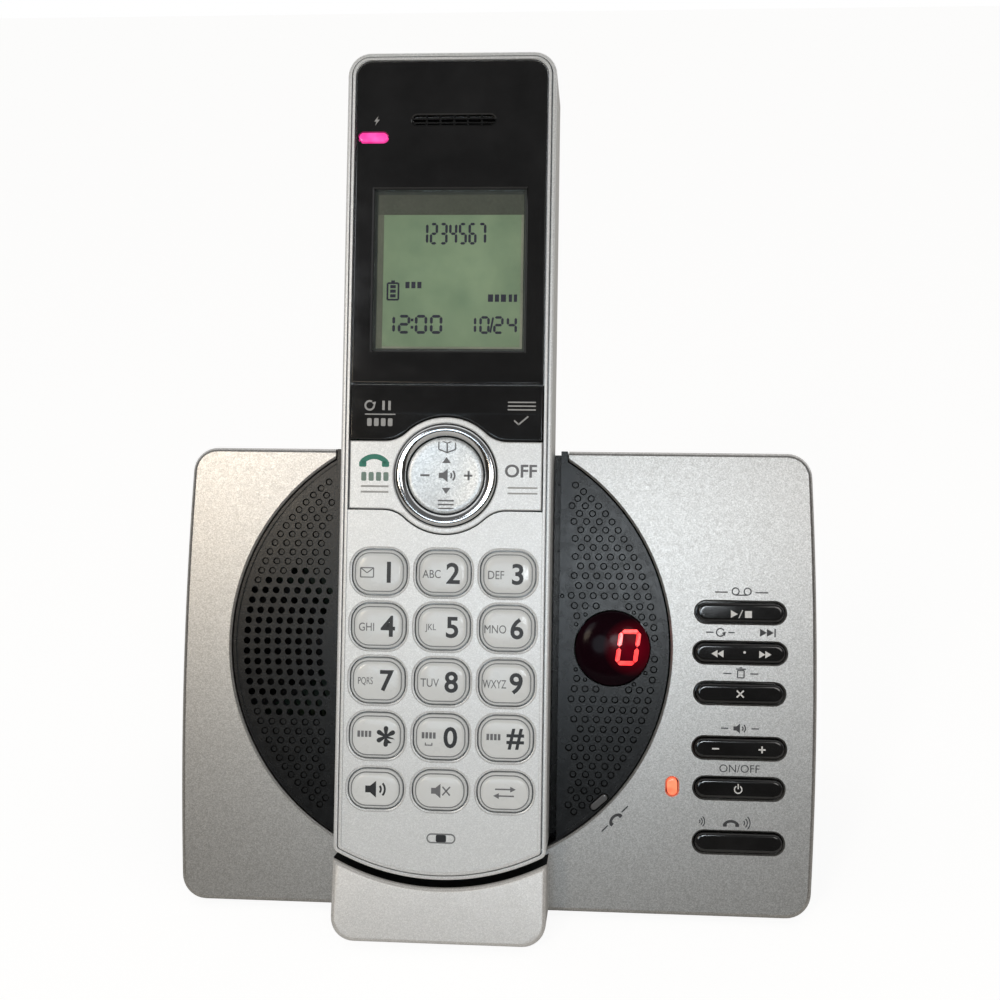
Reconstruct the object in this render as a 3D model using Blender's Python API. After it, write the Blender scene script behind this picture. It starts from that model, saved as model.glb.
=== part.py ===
# Answering machine with a cordless handset standing in its cradle.
# Metres, +Z up, the face looks towards -Y and leans back.
# Most pieces are drawn on the face: u to the right, v up the face, w out of it,
# with zero at the centre of the round insert, on the front of the silver plate.
import math

import bmesh
import bpy
from mathutils import Matrix, Vector

MM = 0.001

# Clearances shared by every piece
GAP = 0.3 * MM                  # between pieces that touch
OVERRUN = 4.0 * MM              # how far a cutter runs past what it cuts
CORNER_STEPS = 4                # faces round a quarter turn
ROUND_SIDES = 12                # faces round a small pin or post
PILL_STEPS = 6                  # faces round each end of a button
HOLE_SIDES = 5                  # faces round a grille hole
INSERT_SIDES = 56               # faces round the insert

# Stance
LEAN_BACK = 22.0                # degrees that the face leans back
FOOT_HEIGHT = 1.5 * MM
FOOT_RADIUS = 5.0 * MM
FOOT_RECESS = 0.8 * MM          # how deep a foot sits in the underside
FOOT_INSET = 22.0 * MM          # foot centre in from the sides
FOOT_FRONT_INSET = 15.0 * MM     # foot centre back from the front edge
FOOT_REAR_INSET = 10.0 * MM     # foot centre in from the rear edge

# Silver plate round the insert's hole, and the body behind it
INSERT_HOLE_RADIUS = 49.0 * MM
PLATE_TOP_CUT = 5.4 * MM        # plate's top edge below the top of the hole's circle
PLATE_FOOT_LAND = 8.3 * MM      # plate below the hole
PLATE_LEFT_LAND = 10.9 * MM     # plate left of the hole, at the widest height
PLATE_RIGHT_LAND = 31.7 * MM    # plate right of the hole, where the buttons are
PLATE_TOP = INSERT_HOLE_RADIUS - PLATE_TOP_CUT
PLATE_BOTTOM = -INSERT_HOLE_RADIUS - PLATE_FOOT_LAND
PLATE_CENTRE = (PLATE_RIGHT_LAND - PLATE_LEFT_LAND) / 2
PLATE_HALF_WIDTH = INSERT_HOLE_RADIUS + (PLATE_LEFT_LAND + PLATE_RIGHT_LAND) / 2
PLATE_WIDEST = -11.0 * MM       # height where the sides bow out most
PLATE_BOW_RADIUS = 915.0 * MM
PLATE_CORNER = 5.5 * MM
PLATE_WALL = 2.2 * MM
COVER_DEPTH = 8.0 * MM          # front cover, from the face to the seam
BOTTOM_LAND = 0.2 * MM          # flat below the face before the underside starts
TOP_DEPTH = 20.0 * MM           # depth of the body along its top
REAR_REACH = 50.0 * MM          # how far the underside runs back from the insert's centre
HOUSING_WALL = 1.8 * MM

# Round insert with the handset's channel
INSERT_RECESS = 0.5 * MM        # insert's face behind the plate's face
WING_THICKNESS = 2.1 * MM
FLANGE_LIP = 2.0 * MM           # flange past the plate's hole
FLANGE_THICKNESS = 1.9 * MM
FLANGE_WIDTH = 3.8 * MM
CHANNEL_CLEARANCE = 1.7 * MM    # beside the handset
CHANNEL_WALL = 1.4 * MM
CHANNEL_FLOOR = 1.6 * MM
STANDOFF_LENGTH = 1.0 * MM
STANDOFF_RADIUS = 2.0 * MM

# Cradle lip on the front cover
LIP_SIDE_SPREAD = 0.2 * MM      # lip past the handset's side
LIP_HEIGHT = 11.6 * MM          # lip below its hollow top edge, in the middle
LIP_CORNER = 5.0 * MM
LIP_WALL = 2.0 * MM
LIP_FRONT_SET_OUT = 0.6 * MM    # lip's front ahead of the handset's front
LIP_GAP = 1.7 * MM              # visible dark gap below the handset
LIP_EDGE = 0.8 * MM             # bevel round the lip's front
LIP_ROOM_OVERLAP = 1.5 * MM     # how far the lip's hollow runs into the body's

# Handset
HANDSET_HALF_WIDTH = 22.7 * MM
HANDSET_LENGTH = 177.6 * MM     # foot to top, in the middle
HANDSET_FRONT = 12.4 * MM       # front of the rim, out from the plate
HANDSET_THICKNESS = 26.0 * MM
HANDSET_CORNER = 5.0 * MM       # round of the top corners
HANDSET_FOOT_CORNER = 1.6 * MM  # round of the bottom corners
HANDSET_EDGE = 3.2 * MM         # round of the back's edge
HANDSET_EDGE_ANGLES = (0.0, 30.0, 60.0, 90.0)
HANDSET_SEAT_GAP = 0.4 * MM     # bottom arc inside the insert's radius
RIM_WIDTH = 0.8 * MM            # rear shell's edge seen from the front
RIM_DROP = 0.5 * MM             # rear shell's edge below the front frame
STRIP_WIDTH = 0.6 * MM          # front frame's raised strip
PANEL_DROP = 0.4 * MM           # panel below the strip
FRAME_THICKNESS = 2.6 * MM      # front frame's panel

# Speaker grille: rows run level, rings follow the insert's edge
GRILLE_RIM_LAND = 3.5 * MM      # outer ring of holes in from the insert's edge
GRILLE_RING_RADIUS = INSERT_HOLE_RADIUS - GRILLE_RIM_LAND
GRILLE_ROW_ARC = 2.3 * MM       # step between rows along the outer ring
GRILLE_ROW_LIFT = 0.4 * MM      # height of the middle row
GRILLE_PITCH = 2.34 * MM        # step along the middle row
GRILLE_STRETCH_SHARE = 0.6      # how much wider the step gets towards the ends
GRILLE_HOLE_RADIUS = 0.78 * MM
GRILLE_RADIUS = 16.6 * MM
GRILLE_SET_IN = 3.5 * MM        # grille's middle, from the wing's middle to the channel
GRILLE_DROP = 0.2 * MM          # grille's middle below the insert's centre
GRILLE_CHANNEL_LAP = 0.1 * MM   # how far a hole's centre may lie over the channel's wall

sin_lean = math.sin(math.radians(LEAN_BACK))
cos_lean = math.cos(math.radians(LEAN_BACK))

# Places worked out from the sizes above
channel_half_width = HANDSET_HALF_WIDTH + CHANNEL_CLEARANCE
channel_outer = channel_half_width + CHANNEL_WALL
handset_back = HANDSET_FRONT - HANDSET_THICKNESS
channel_depth = handset_back - GAP
trough_back = channel_depth - CHANNEL_FLOOR
handset_arc = INSERT_HOLE_RADIUS - HANDSET_SEAT_GAP
handset_foot = -handset_arc
handset_top = handset_foot + HANDSET_LENGTH
seat_arc = handset_arc + GAP
lip_arc = handset_arc + LIP_GAP
lip_half_width = HANDSET_HALF_WIDTH + LIP_SIDE_SPREAD
lip_bottom = -lip_arc - LIP_HEIGHT
plate_left = PLATE_CENTRE - PLATE_HALF_WIDTH
plate_right = PLATE_CENTRE + PLATE_HALF_WIDTH
grille_centre = (-(INSERT_HOLE_RADIUS + channel_outer) / 2 + GRILLE_SET_IN, -GRILLE_DROP)
grille_edge = -channel_outer + GRILLE_CHANNEL_LAP
lip_front = HANDSET_FRONT + LIP_FRONT_SET_OUT
insert_face = -INSERT_RECESS
wing_back = insert_face - WING_THICKNESS
flange_front = -PLATE_WALL - GAP
flange_back = flange_front - FLANGE_THICKNESS
flange_radius = INSERT_HOLE_RADIUS + FLANGE_LIP
seam = -COVER_DEPTH
underside_drop = (-PLATE_BOTTOM + BOTTOM_LAND) * cos_lean
face_height = FOOT_HEIGHT + underside_drop


def depth_of(v, w):
    """World y of a point on the face, before the part is centred."""
    return v * sin_lean - w * cos_lean


def height_of(v, w):
    """World z of a point on the face."""
    return face_height + v * cos_lean + w * sin_lean


def handset_edge_rings():
    """Insets and depths that round the handset's back edge."""
    rings = []
    for angle in HANDSET_EDGE_ANGLES:
        turn = math.radians(angle)
        inset = HANDSET_EDGE * (1 - math.sin(turn))
        depth = handset_back + HANDSET_EDGE * (1 - math.cos(turn))
        rings.append((inset, depth))
    return rings


# The part stands with its box centred on the origin
front_reach = depth_of(lip_bottom + LIP_EDGE, lip_front)
back_reach = max(depth_of(handset_top - inset, w) for inset, w in handset_edge_rings())
centre_shift = -(front_reach + back_reach) / 2


def new_empty(name, columns, location):
    """An empty whose axes are the given world directions."""
    empty = bpy.data.objects.new(name, None)
    bpy.context.collection.objects.link(empty)
    turn = Matrix(columns).transposed().to_4x4()
    empty.matrix_world = Matrix.Translation(Vector(location)) @ turn
    return empty


for old in list(bpy.data.objects):
    bpy.data.objects.remove(old)

face_frame = new_empty(
    "face_frame",
    ((1, 0, 0), (0, sin_lean, cos_lean), (0, -cos_lean, sin_lean)),
    (-PLATE_CENTRE, centre_shift, face_height))

# Side frame: x runs back, y up, z to the right, with zero below the insert's centre
side_frame = new_empty(
    "side_frame",
    ((0, 1, 0), (0, 0, 1), (1, 0, 0)),
    (-PLATE_CENTRE, centre_shift, 0))

rear_top = (depth_of(PLATE_TOP, -TOP_DEPTH), height_of(PLATE_TOP, -TOP_DEPTH))
rear_bottom = (REAR_REACH, FOOT_HEIGHT)
rear_length = math.dist(rear_top, rear_bottom)
rear_up = (
    (rear_top[0] - rear_bottom[0]) / rear_length,
    (rear_top[1] - rear_bottom[1]) / rear_length)

# Rear frame: x to the right as seen from behind, y up the rear wall, z out of it
rear_frame = new_empty(
    "rear_frame",
    ((-1, 0, 0), (0, rear_up[0], rear_up[1]), (0, rear_up[1], -rear_up[0])),
    (0, rear_bottom[0] + centre_shift, rear_bottom[1]))


def arc(centre, radius, start, end, steps=CORNER_STEPS):
    """Points on an arc, both ends included, angles in degrees."""
    points = []
    for step in range(steps + 1):
        turn = math.radians(start + (end - start) * step / steps)
        points.append((centre[0] + radius * math.cos(turn), centre[1] + radius * math.sin(turn)))
    return points


def circle(centre, radius, sides=ROUND_SIDES):
    return arc(centre, radius, 0, 360 - 360 / sides, sides - 1)


def rounded_box(centre, width, height, radius, steps=CORNER_STEPS):
    """Outline of a rectangle with round corners, anticlockwise."""
    x = width / 2 - radius
    y = height / 2 - radius
    outline = []
    for sign_x, sign_y, start in ((1, -1, -90), (1, 1, 0), (-1, 1, 90), (-1, -1, 180)):
        corner = (centre[0] + sign_x * x, centre[1] + sign_y * y)
        outline += arc(corner, radius, start, start + 90, steps)
    return outline


def box_outline(low, high):
    return [(low[0], low[1]), (high[0], low[1]), (high[0], high[1]), (low[0], high[1])]


def pill(centre, length, width, steps=PILL_STEPS, turn=0.0):
    """Outline with fully round ends, turned by an angle in degrees."""
    reach = length / 2 - width / 2
    ends = (arc((reach, 0), width / 2, -90, 90, steps)
            + arc((-reach, 0), width / 2, 90, 270, steps))
    cosine = math.cos(math.radians(turn))
    sine = math.sin(math.radians(turn))
    return [(centre[0] + x * cosine - y * sine, centre[1] + x * sine + y * cosine)
            for x, y in ends]


def material(name, colour, roughness, metallic=0.0, alpha=1.0, glow=None):
    """A Principled material; glow is the colour of a lit piece."""
    made = bpy.data.materials.get(name)
    if made:
        return made
    made = bpy.data.materials.new(name)
    made.use_nodes = True
    shader = made.node_tree.nodes["Principled BSDF"]
    shader.inputs["Base Color"].default_value = (*colour, 1.0)
    shader.inputs["Roughness"].default_value = roughness
    shader.inputs["Metallic"].default_value = metallic
    shader.inputs["Alpha"].default_value = alpha
    if glow:
        shader.inputs["Emission Color"].default_value = (*glow, 1.0)
        shader.inputs["Emission Strength"].default_value = 1.0
    made.diffuse_color = (*colour, alpha)
    return made


def silver_paint():
    return material("silver_paint", (0.62, 0.61, 0.60), 0.38, metallic=0.45)


def pearl_plastic():
    return material("pearl_plastic", (0.72, 0.72, 0.73), 0.34, metallic=0.25)


def black_plastic():
    return material("black_plastic", (0.035, 0.035, 0.037), 0.55)


def gloss_black():
    return material("gloss_black", (0.012, 0.012, 0.013), 0.12)


def chrome():
    return material("chrome", (0.80, 0.80, 0.82), 0.08, metallic=1.0)


def key_plastic():
    return material("key_plastic", (0.70, 0.71, 0.72), 0.25)


def rubber():
    return material("rubber", (0.05, 0.05, 0.05), 0.85)


def membrane_rubber():
    return material("membrane_rubber", (0.45, 0.46, 0.48), 0.70)


def circuit_board():
    return material("circuit_board", (0.05, 0.22, 0.10), 0.45)


def steel():
    return material("steel", (0.55, 0.55, 0.56), 0.30, metallic=1.0)


def nickel():
    return material("nickel", (0.72, 0.68, 0.58), 0.22, metallic=1.0)


def paper_cone():
    return material("paper_cone", (0.06, 0.06, 0.06), 0.90)


def dark_red_lens():
    return material("dark_red_lens", (0.10, 0.004, 0.008), 0.06)


def battery_wrap():
    return material("battery_wrap", (0.10, 0.22, 0.45), 0.40)


def add_stack(mesh, rings, origin):
    """Add one closed body through rings of equal point counts, lowest ring first."""
    loops = []
    for outline, height in rings:
        loops.append([mesh.verts.new((x - origin[0], y - origin[1], height - origin[2]))
                      for x, y in outline])
    count = len(loops[0])
    for lower, upper in zip(loops, loops[1:]):
        for index in range(count):
            after = (index + 1) % count
            mesh.faces.new((lower[index], lower[after], upper[after], upper[index]))
    mesh.faces.new(loops[0][::-1])
    mesh.faces.new(loops[-1])


def piece(name, stacks, finish, origin=(0, 0, 0), parent=face_frame):
    """A named sub-part made of one or more closed stacks of rings."""
    mesh = bmesh.new()
    for rings in stacks:
        add_stack(mesh, rings, origin)
    data = bpy.data.meshes.new(name)
    mesh.to_mesh(data)
    mesh.free()
    if finish:
        data.materials.append(finish)
    data.shade_smooth()
    data.set_sharp_from_angle(angle=math.radians(35))
    made = bpy.data.objects.new(name, data)
    bpy.context.collection.objects.link(made)
    made.parent = parent
    made.location = origin
    return made


def guide(name, stacks, parent=face_frame):
    """A hidden body that only shapes others."""
    made = piece(name, stacks, None, parent=parent)
    made.hide_render = True
    made.display_type = "WIRE"
    return made


def shape(target, other, operation):
    """Cut, join or trim a piece with a hidden body."""
    step = target.modifiers.new(other.name, "BOOLEAN")
    step.operation = operation
    step.solver = "EXACT"
    step.object = other


def cut(target, other):
    shape(target, other, "DIFFERENCE")


def join(target, other):
    shape(target, other, "UNION")


def trim(target, other):
    shape(target, other, "INTERSECT")


# Outlines of the main forms


def plate_outline(inset=0.0):
    """Silver plate seen from the front: bowed sides and round corners."""
    radius = PLATE_BOW_RADIUS - inset
    corner = PLATE_CORNER - min(inset, PLATE_CORNER / 2)
    middle = PLATE_HALF_WIDTH - PLATE_BOW_RADIUS
    top = PLATE_TOP - inset
    bottom = PLATE_BOTTOM + inset

    def side(v):
        return middle + math.sqrt(radius ** 2 - (v - PLATE_WIDEST) ** 2)

    bow_steps = CORNER_STEPS
    low = bottom + corner
    high = top - corner
    right = []
    right += arc((side(low) - corner, low), corner, -90, -2)
    right += [(side(low + (high - low) * step / bow_steps), low + (high - low) * step / bow_steps)
              for step in range(1, bow_steps)]
    right += arc((side(high) - corner, high), corner, 2, 90)
    left = [(-u, v) for u, v in reversed(right)]
    return [(PLATE_CENTRE + u, v) for u, v in right + left]


def bottom_arc_outline(half_width, top, radius, top_corner, foot_corner):
    """Upright shape whose bottom edge is an arc about the insert's centre."""
    reach = radius - foot_corner
    corner_u = half_width - foot_corner
    corner_v = -math.sqrt(reach ** 2 - corner_u ** 2)
    swing = math.degrees(math.atan2(corner_v, corner_u))
    right = arc((0, 0), radius, -90, swing, CORNER_STEPS + 2)
    right += arc((corner_u, corner_v), foot_corner, swing, 0, 3)[1:]
    if top_corner:
        right += arc((half_width - top_corner, top - top_corner), top_corner, 0, 90)
    else:
        right.append((half_width, top))
    left = [(-u, v) for u, v in reversed(right)][:-1]
    return right + left


def handset_outline(inset=0.0):
    """Handset seen from the front."""
    return bottom_arc_outline(
        HANDSET_HALF_WIDTH - inset,
        handset_top - inset,
        handset_arc - inset,
        HANDSET_CORNER - min(inset, HANDSET_CORNER / 2),
        HANDSET_FOOT_CORNER - min(inset, HANDSET_FOOT_CORNER / 2))


def channel_outline(spread, top):
    """Channel that the handset stands in, spread out by a wall."""
    return bottom_arc_outline(
        channel_half_width + spread, top, seat_arc + spread, 0, HANDSET_FOOT_CORNER + spread)


def lip_outline(inset=0.0):
    """Cradle lip seen from the front: hollow top edge, round bottom corners."""
    half = lip_half_width - inset
    radius = lip_arc + inset
    corner = LIP_CORNER - inset
    bottom = lip_bottom + inset
    swing = math.degrees(math.acos(half / radius))
    top = arc((0, 0), radius, -swing, -180 + swing, CORNER_STEPS * 2)
    left = arc((-half + corner, bottom + corner), corner, 180, 270)
    right = arc((half - corner, bottom + corner), corner, 270, 360)
    return top + left + right


def wing_outline(side, radius, inner):
    """D shape between the insert's edge and the channel, side is -1 or 1."""
    swing = math.degrees(math.acos(inner / radius))
    outline = arc((0, 0), radius, -swing, swing, CORNER_STEPS * 4)
    if side > 0:
        return outline
    return [(-u, v) for u, v in reversed(outline)]


def underside_profile(wall=0.0):
    """Side view that the body is trimmed to: level underside and sloping rear wall."""
    ahead = depth_of(PLATE_BOTTOM, lip_front) - OVERRUN * 2
    above = height_of(PLATE_TOP, 0) + OVERRUN * 2
    floor = FOOT_HEIGHT + wall
    back = wall / rear_up[1]
    slope = rear_up[0] / rear_up[1]
    return [
        (ahead, floor),
        (rear_bottom[0] - back + slope * wall, floor),
        (rear_bottom[0] - back + slope * (above - FOOT_HEIGHT), above),
        (ahead, above)]


def across(name, profile, left, right):
    """Hidden prism that runs across the body from one u to another."""
    return guide(name, [[(profile, left), (profile, right)]], parent=side_frame)


body_left = plate_left - OVERRUN
body_right = plate_right + OVERRUN
outer_wedge = across("outer_wedge", underside_profile(), body_left, body_right)
inner_wedge = across("inner_wedge", underside_profile(HOUSING_WALL), body_left, body_right)
panel_wedge = across("panel_wedge", underside_profile(HOUSING_WALL + GAP), body_left, body_right)
rear_depth = -(REAR_REACH + OVERRUN) * cos_lean - face_height * sin_lean
outer_top = PLATE_TOP + OVERRUN

# Screws that hold the two halves of the body, and their posts
SCREW_LEFT_INSET = 9.9 * MM     # in from the plate's left side
SCREW_RIGHT_INSET = 9.7 * MM
SCREW_RISE = 8.7 * MM           # above the plate's lower edge
BODY_SCREWS = (
    (plate_left + SCREW_LEFT_INSET, PLATE_BOTTOM + SCREW_RISE),
    (plate_right - SCREW_RIGHT_INSET, PLATE_BOTTOM + SCREW_RISE))
SCREW_RADIUS = 1.1 * MM
SCREW_LENGTH = 5.0 * MM
SCREW_HEAD_RADIUS = 2.0 * MM
SCREW_HEAD_HEIGHT = 1.4 * MM
POST_RADIUS = 3.6 * MM
POST_STEP = 0.05 * MM          # cover's posts stop this far short of the seam
POST_FACE = 2.0 * MM            # plastic under the screw head
PILOT_DEPTH = 4.5 * MM


def disc(centre, radius, low, high, sides=ROUND_SIDES):
    outline = circle(centre, radius, sides)
    return [(outline, low), (outline, high)]


# Controls on the right of the plate; rises count from the plate's lower edge
BUTTON_SET_OUT = 15.0 * MM      # buttons' middle, right of the insert's hole
BUTTON_CENTRE = INSERT_HOLE_RADIUS + BUTTON_SET_OUT
BUTTON_LENGTH = 18.9 * MM
ROCKER_LENGTH = 19.5 * MM
BUTTON_WIDTH = 4.1 * MM
BUTTON_STAND = 0.7 * MM         # button's face above the plate
BUTTON_CROWN = 0.5 * MM         # round of the button's edge
BUTTON_FLANGE = 0.8 * MM
BUTTON_TRAVEL = 0.8 * MM
ROCKER_TAB_LENGTH = 3.0 * MM
ROCKER_STEM = 5.5 * MM          # stems to each side of the pivot
STEM_RADIUS = 1.2 * MM
STEM_LENGTH = 3.4 * MM
PLAY_STOP_RISE = 66.0 * MM
REPEAT_SKIP_RISE = 57.2 * MM
DELETE_RISE = 48.4 * MM
VOLUME_RISE = 36.5 * MM
ANSWER_RISE = 27.8 * MM
FIND_RISE = 16.1 * MM
PUSH_BUTTONS = (
    ("play_stop_button", PLATE_BOTTOM + PLAY_STOP_RISE),
    ("delete_button", PLATE_BOTTOM + DELETE_RISE),
    ("answer_button", PLATE_BOTTOM + ANSWER_RISE),
    ("find_handset_button", PLATE_BOTTOM + FIND_RISE))
ROCKERS = (
    ("repeat_skip_rocker", PLATE_BOTTOM + REPEAT_SKIP_RISE),
    ("volume_rocker", PLATE_BOTTOM + VOLUME_RISE))
stem_foot = flange_front - BUTTON_FLANGE - STEM_LENGTH
dome_top = stem_foot - BUTTON_TRAVEL - GAP
MEMBRANE_DOME = 0.4 * MM
MEMBRANE_THICKNESS = 0.6 * MM
MEMBRANE_LEFT_REACH = 10.8 * MM # sheet past the buttons' middle and the end buttons
MEMBRANE_RIGHT_REACH = 11.0 * MM
MEMBRANE_TOP_REACH = 3.7 * MM
MEMBRANE_FOOT_REACH = 3.2 * MM
DOME_RADIUS = 2.0 * MM
BOARD_THICKNESS = 1.4 * MM
BOARD_CHANNEL_GAP = 1.6 * MM    # board's left edge from the channel
BOARD_SIDE_INSET = 4.1 * MM     # board's right edge from the plate's side
BOARD_TOP_REACH = 8.7 * MM
BOARD_FOOT_REACH = 3.5 * MM
BOSS_TOP_RISE = 72.7 * MM
BOSS_MIDDLE_RISE = 42.3 * MM
BOSS_LOW_RISE = 21.9 * MM
BOARD_BOSSES = (
    PLATE_BOTTOM + BOSS_TOP_RISE,
    PLATE_BOTTOM + BOSS_MIDDLE_RISE,
    PLATE_BOTTOM + BOSS_LOW_RISE)
BOARD_BOSS_RADIUS = 1.4 * MM
membrane_back = dome_top - MEMBRANE_DOME - MEMBRANE_THICKNESS
button_board_front = membrane_back - GAP

# Lights and the counter's window
ANSWER_LIGHT_SET_OUT = 14.4 * MM # left of the buttons' middle
ANSWER_LIGHT_DROP = 0.2 * MM    # below the answer button's middle
ANSWER_LIGHT = (
    BUTTON_CENTRE - ANSWER_LIGHT_SET_OUT,
    PLATE_BOTTOM + ANSWER_RISE - ANSWER_LIGHT_DROP)
ANSWER_LIGHT_LENGTH = 3.8 * MM
ANSWER_LIGHT_WIDTH = 2.2 * MM
IN_USE_LIGHT_SHARES = (0.687755102, -0.681632653)   # of the insert's radius, from its centre
IN_USE_LIGHT = tuple(share * INSERT_HOLE_RADIUS for share in IN_USE_LIGHT_SHARES)
IN_USE_LIGHT_LENGTH = 4.5 * MM
IN_USE_LIGHT_WIDTH = 1.5 * MM
IN_USE_LIGHT_TURN = 42.0        # degrees
LIGHT_STAND = 0.2 * MM
LENS_CHANNEL_LAND = 2.2 * MM    # insert between the channel and the lens
LENS_RIM_LAND = 4.6 * MM        # insert between the lens and its right edge
LENS_RISE = 0.3 * MM            # lens above the insert's centre
LENS_RADIUS = (INSERT_HOLE_RADIUS - channel_outer - LENS_CHANNEL_LAND - LENS_RIM_LAND) / 2
LENS_CENTRE = (channel_outer + LENS_CHANNEL_LAND + LENS_RADIUS, LENS_RISE)
LENS_DOME = 1.3 * MM            # height of the dome above the insert
LENS_RIM = 0.5 * MM
LENS_FLANGE = 0.9 * MM
LENS_SIDES = 24
LENS_DOME_SHARES = (0.3, 0.6, 0.85)
COUNTER_SIDE_MARGIN = 1.4 * MM  # digit block narrower than the lens
COUNTER_END_MARGIN = 5.4 * MM   # digit block lower than the lens


def front_cover():
    """Silver cover: face plate, its edges and the cradle lip in one moulding."""
    cover = piece("front_cover", [[(plate_outline(), seam), (plate_outline(), 0)]], silver_paint())
    lip = guide("lip_body", [[
        (lip_outline(), -PLATE_WALL / 2),
        (lip_outline(), lip_front - LIP_EDGE),
        (lip_outline(LIP_EDGE), lip_front)]])
    join(cover, lip)
    trim(cover, outer_wedge)
    room = guide("cover_room", [[
        (plate_outline(PLATE_WALL), seam - OVERRUN),
        (plate_outline(PLATE_WALL), -PLATE_WALL)]])
    lip_room = guide("lip_room", [[
        (lip_outline(LIP_WALL), -PLATE_WALL - LIP_ROOM_OVERLAP),
        (lip_outline(LIP_WALL), lip_front - LIP_WALL)]])
    join(room, lip_room)
    trim(room, inner_wedge)
    cut(cover, room)
    hole = circle((0, 0), INSERT_HOLE_RADIUS, INSERT_SIDES)
    cut(cover, guide("insert_hole", [[(hole, seam - OVERRUN), (hole, OVERRUN)]]))
    notch = box_outline((-channel_outer - GAP, 0), (channel_outer + GAP, outer_top))
    cut(cover, guide("cover_notch", [[(notch, seam - OVERRUN), (notch, OVERRUN)]]))
    bosses = [disc(place, POST_RADIUS, seam + POST_STEP, -PLATE_WALL / 2) for place in BODY_SCREWS]
    bosses += [disc((BUTTON_CENTRE, v), BOARD_BOSS_RADIUS, button_board_front + GAP, -PLATE_WALL / 2)
               for v in BOARD_BOSSES]
    join(cover, guide("cover_bosses", bosses))
    openings = [disc(place, SCREW_RADIUS + GAP, seam - OVERRUN, seam + PILOT_DEPTH)
                for place in BODY_SCREWS]
    for name, v in PUSH_BUTTONS + ROCKERS:
        length = ROCKER_LENGTH if name.endswith("rocker") else BUTTON_LENGTH
        slot = pill((BUTTON_CENTRE, v), length + GAP * 2, BUTTON_WIDTH + GAP * 2)
        openings.append([(slot, -PLATE_WALL - OVERRUN), (slot, OVERRUN)])
    light = pill(ANSWER_LIGHT, ANSWER_LIGHT_LENGTH + GAP * 2, ANSWER_LIGHT_WIDTH + GAP * 2, turn=90)
    openings.append([(light, -PLATE_WALL - OVERRUN), (light, OVERRUN)])
    cut(cover, guide("cover_openings", openings))


def grille_places():
    """Hole centres: level rows whose ends follow the insert's edge."""
    places = []
    rows = int(GRILLE_RADIUS / GRILLE_ROW_ARC) + 1
    for row in range(-rows, rows + 1):
        turn = row * GRILLE_ROW_ARC / GRILLE_RING_RADIUS + GRILLE_ROW_LIFT / GRILLE_RING_RADIUS
        v = GRILLE_RING_RADIUS * math.sin(turn)
        stretch = 1 + GRILLE_STRETCH_SHARE * (v / INSERT_HOLE_RADIUS) ** 2
        u = -GRILLE_RING_RADIUS * math.cos(turn)
        while u < grille_edge:
            if math.dist((u, v), grille_centre) < GRILLE_RADIUS:
                places.append((u, v))
            u += GRILLE_PITCH * stretch
    return places


CONTACT_SPREAD = 9.0 * MM       # each charging contact from the middle
CONTACT_WIDTH = 2.4 * MM
CONTACT_LENGTH = 5.2 * MM       # along the channel's depth
CONTACT_RISE = 3.3 * MM         # height of the leaf spring's block
CONTACT_DEPTH = -5.4 * MM       # middle of the contact, behind the plate's face
seat_drop = math.sqrt(seat_arc ** 2 - CONTACT_SPREAD ** 2)


def contact_outline(side, spread=0.0):
    """Charging contact seen from the front, its top level with the seat."""
    middle = side * CONTACT_SPREAD
    half = CONTACT_WIDTH / 2 + spread
    top = -seat_drop + (OVERRUN if spread else -GAP)
    return box_outline((middle - half, -seat_drop - CONTACT_RISE - spread), (middle + half, top))


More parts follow.
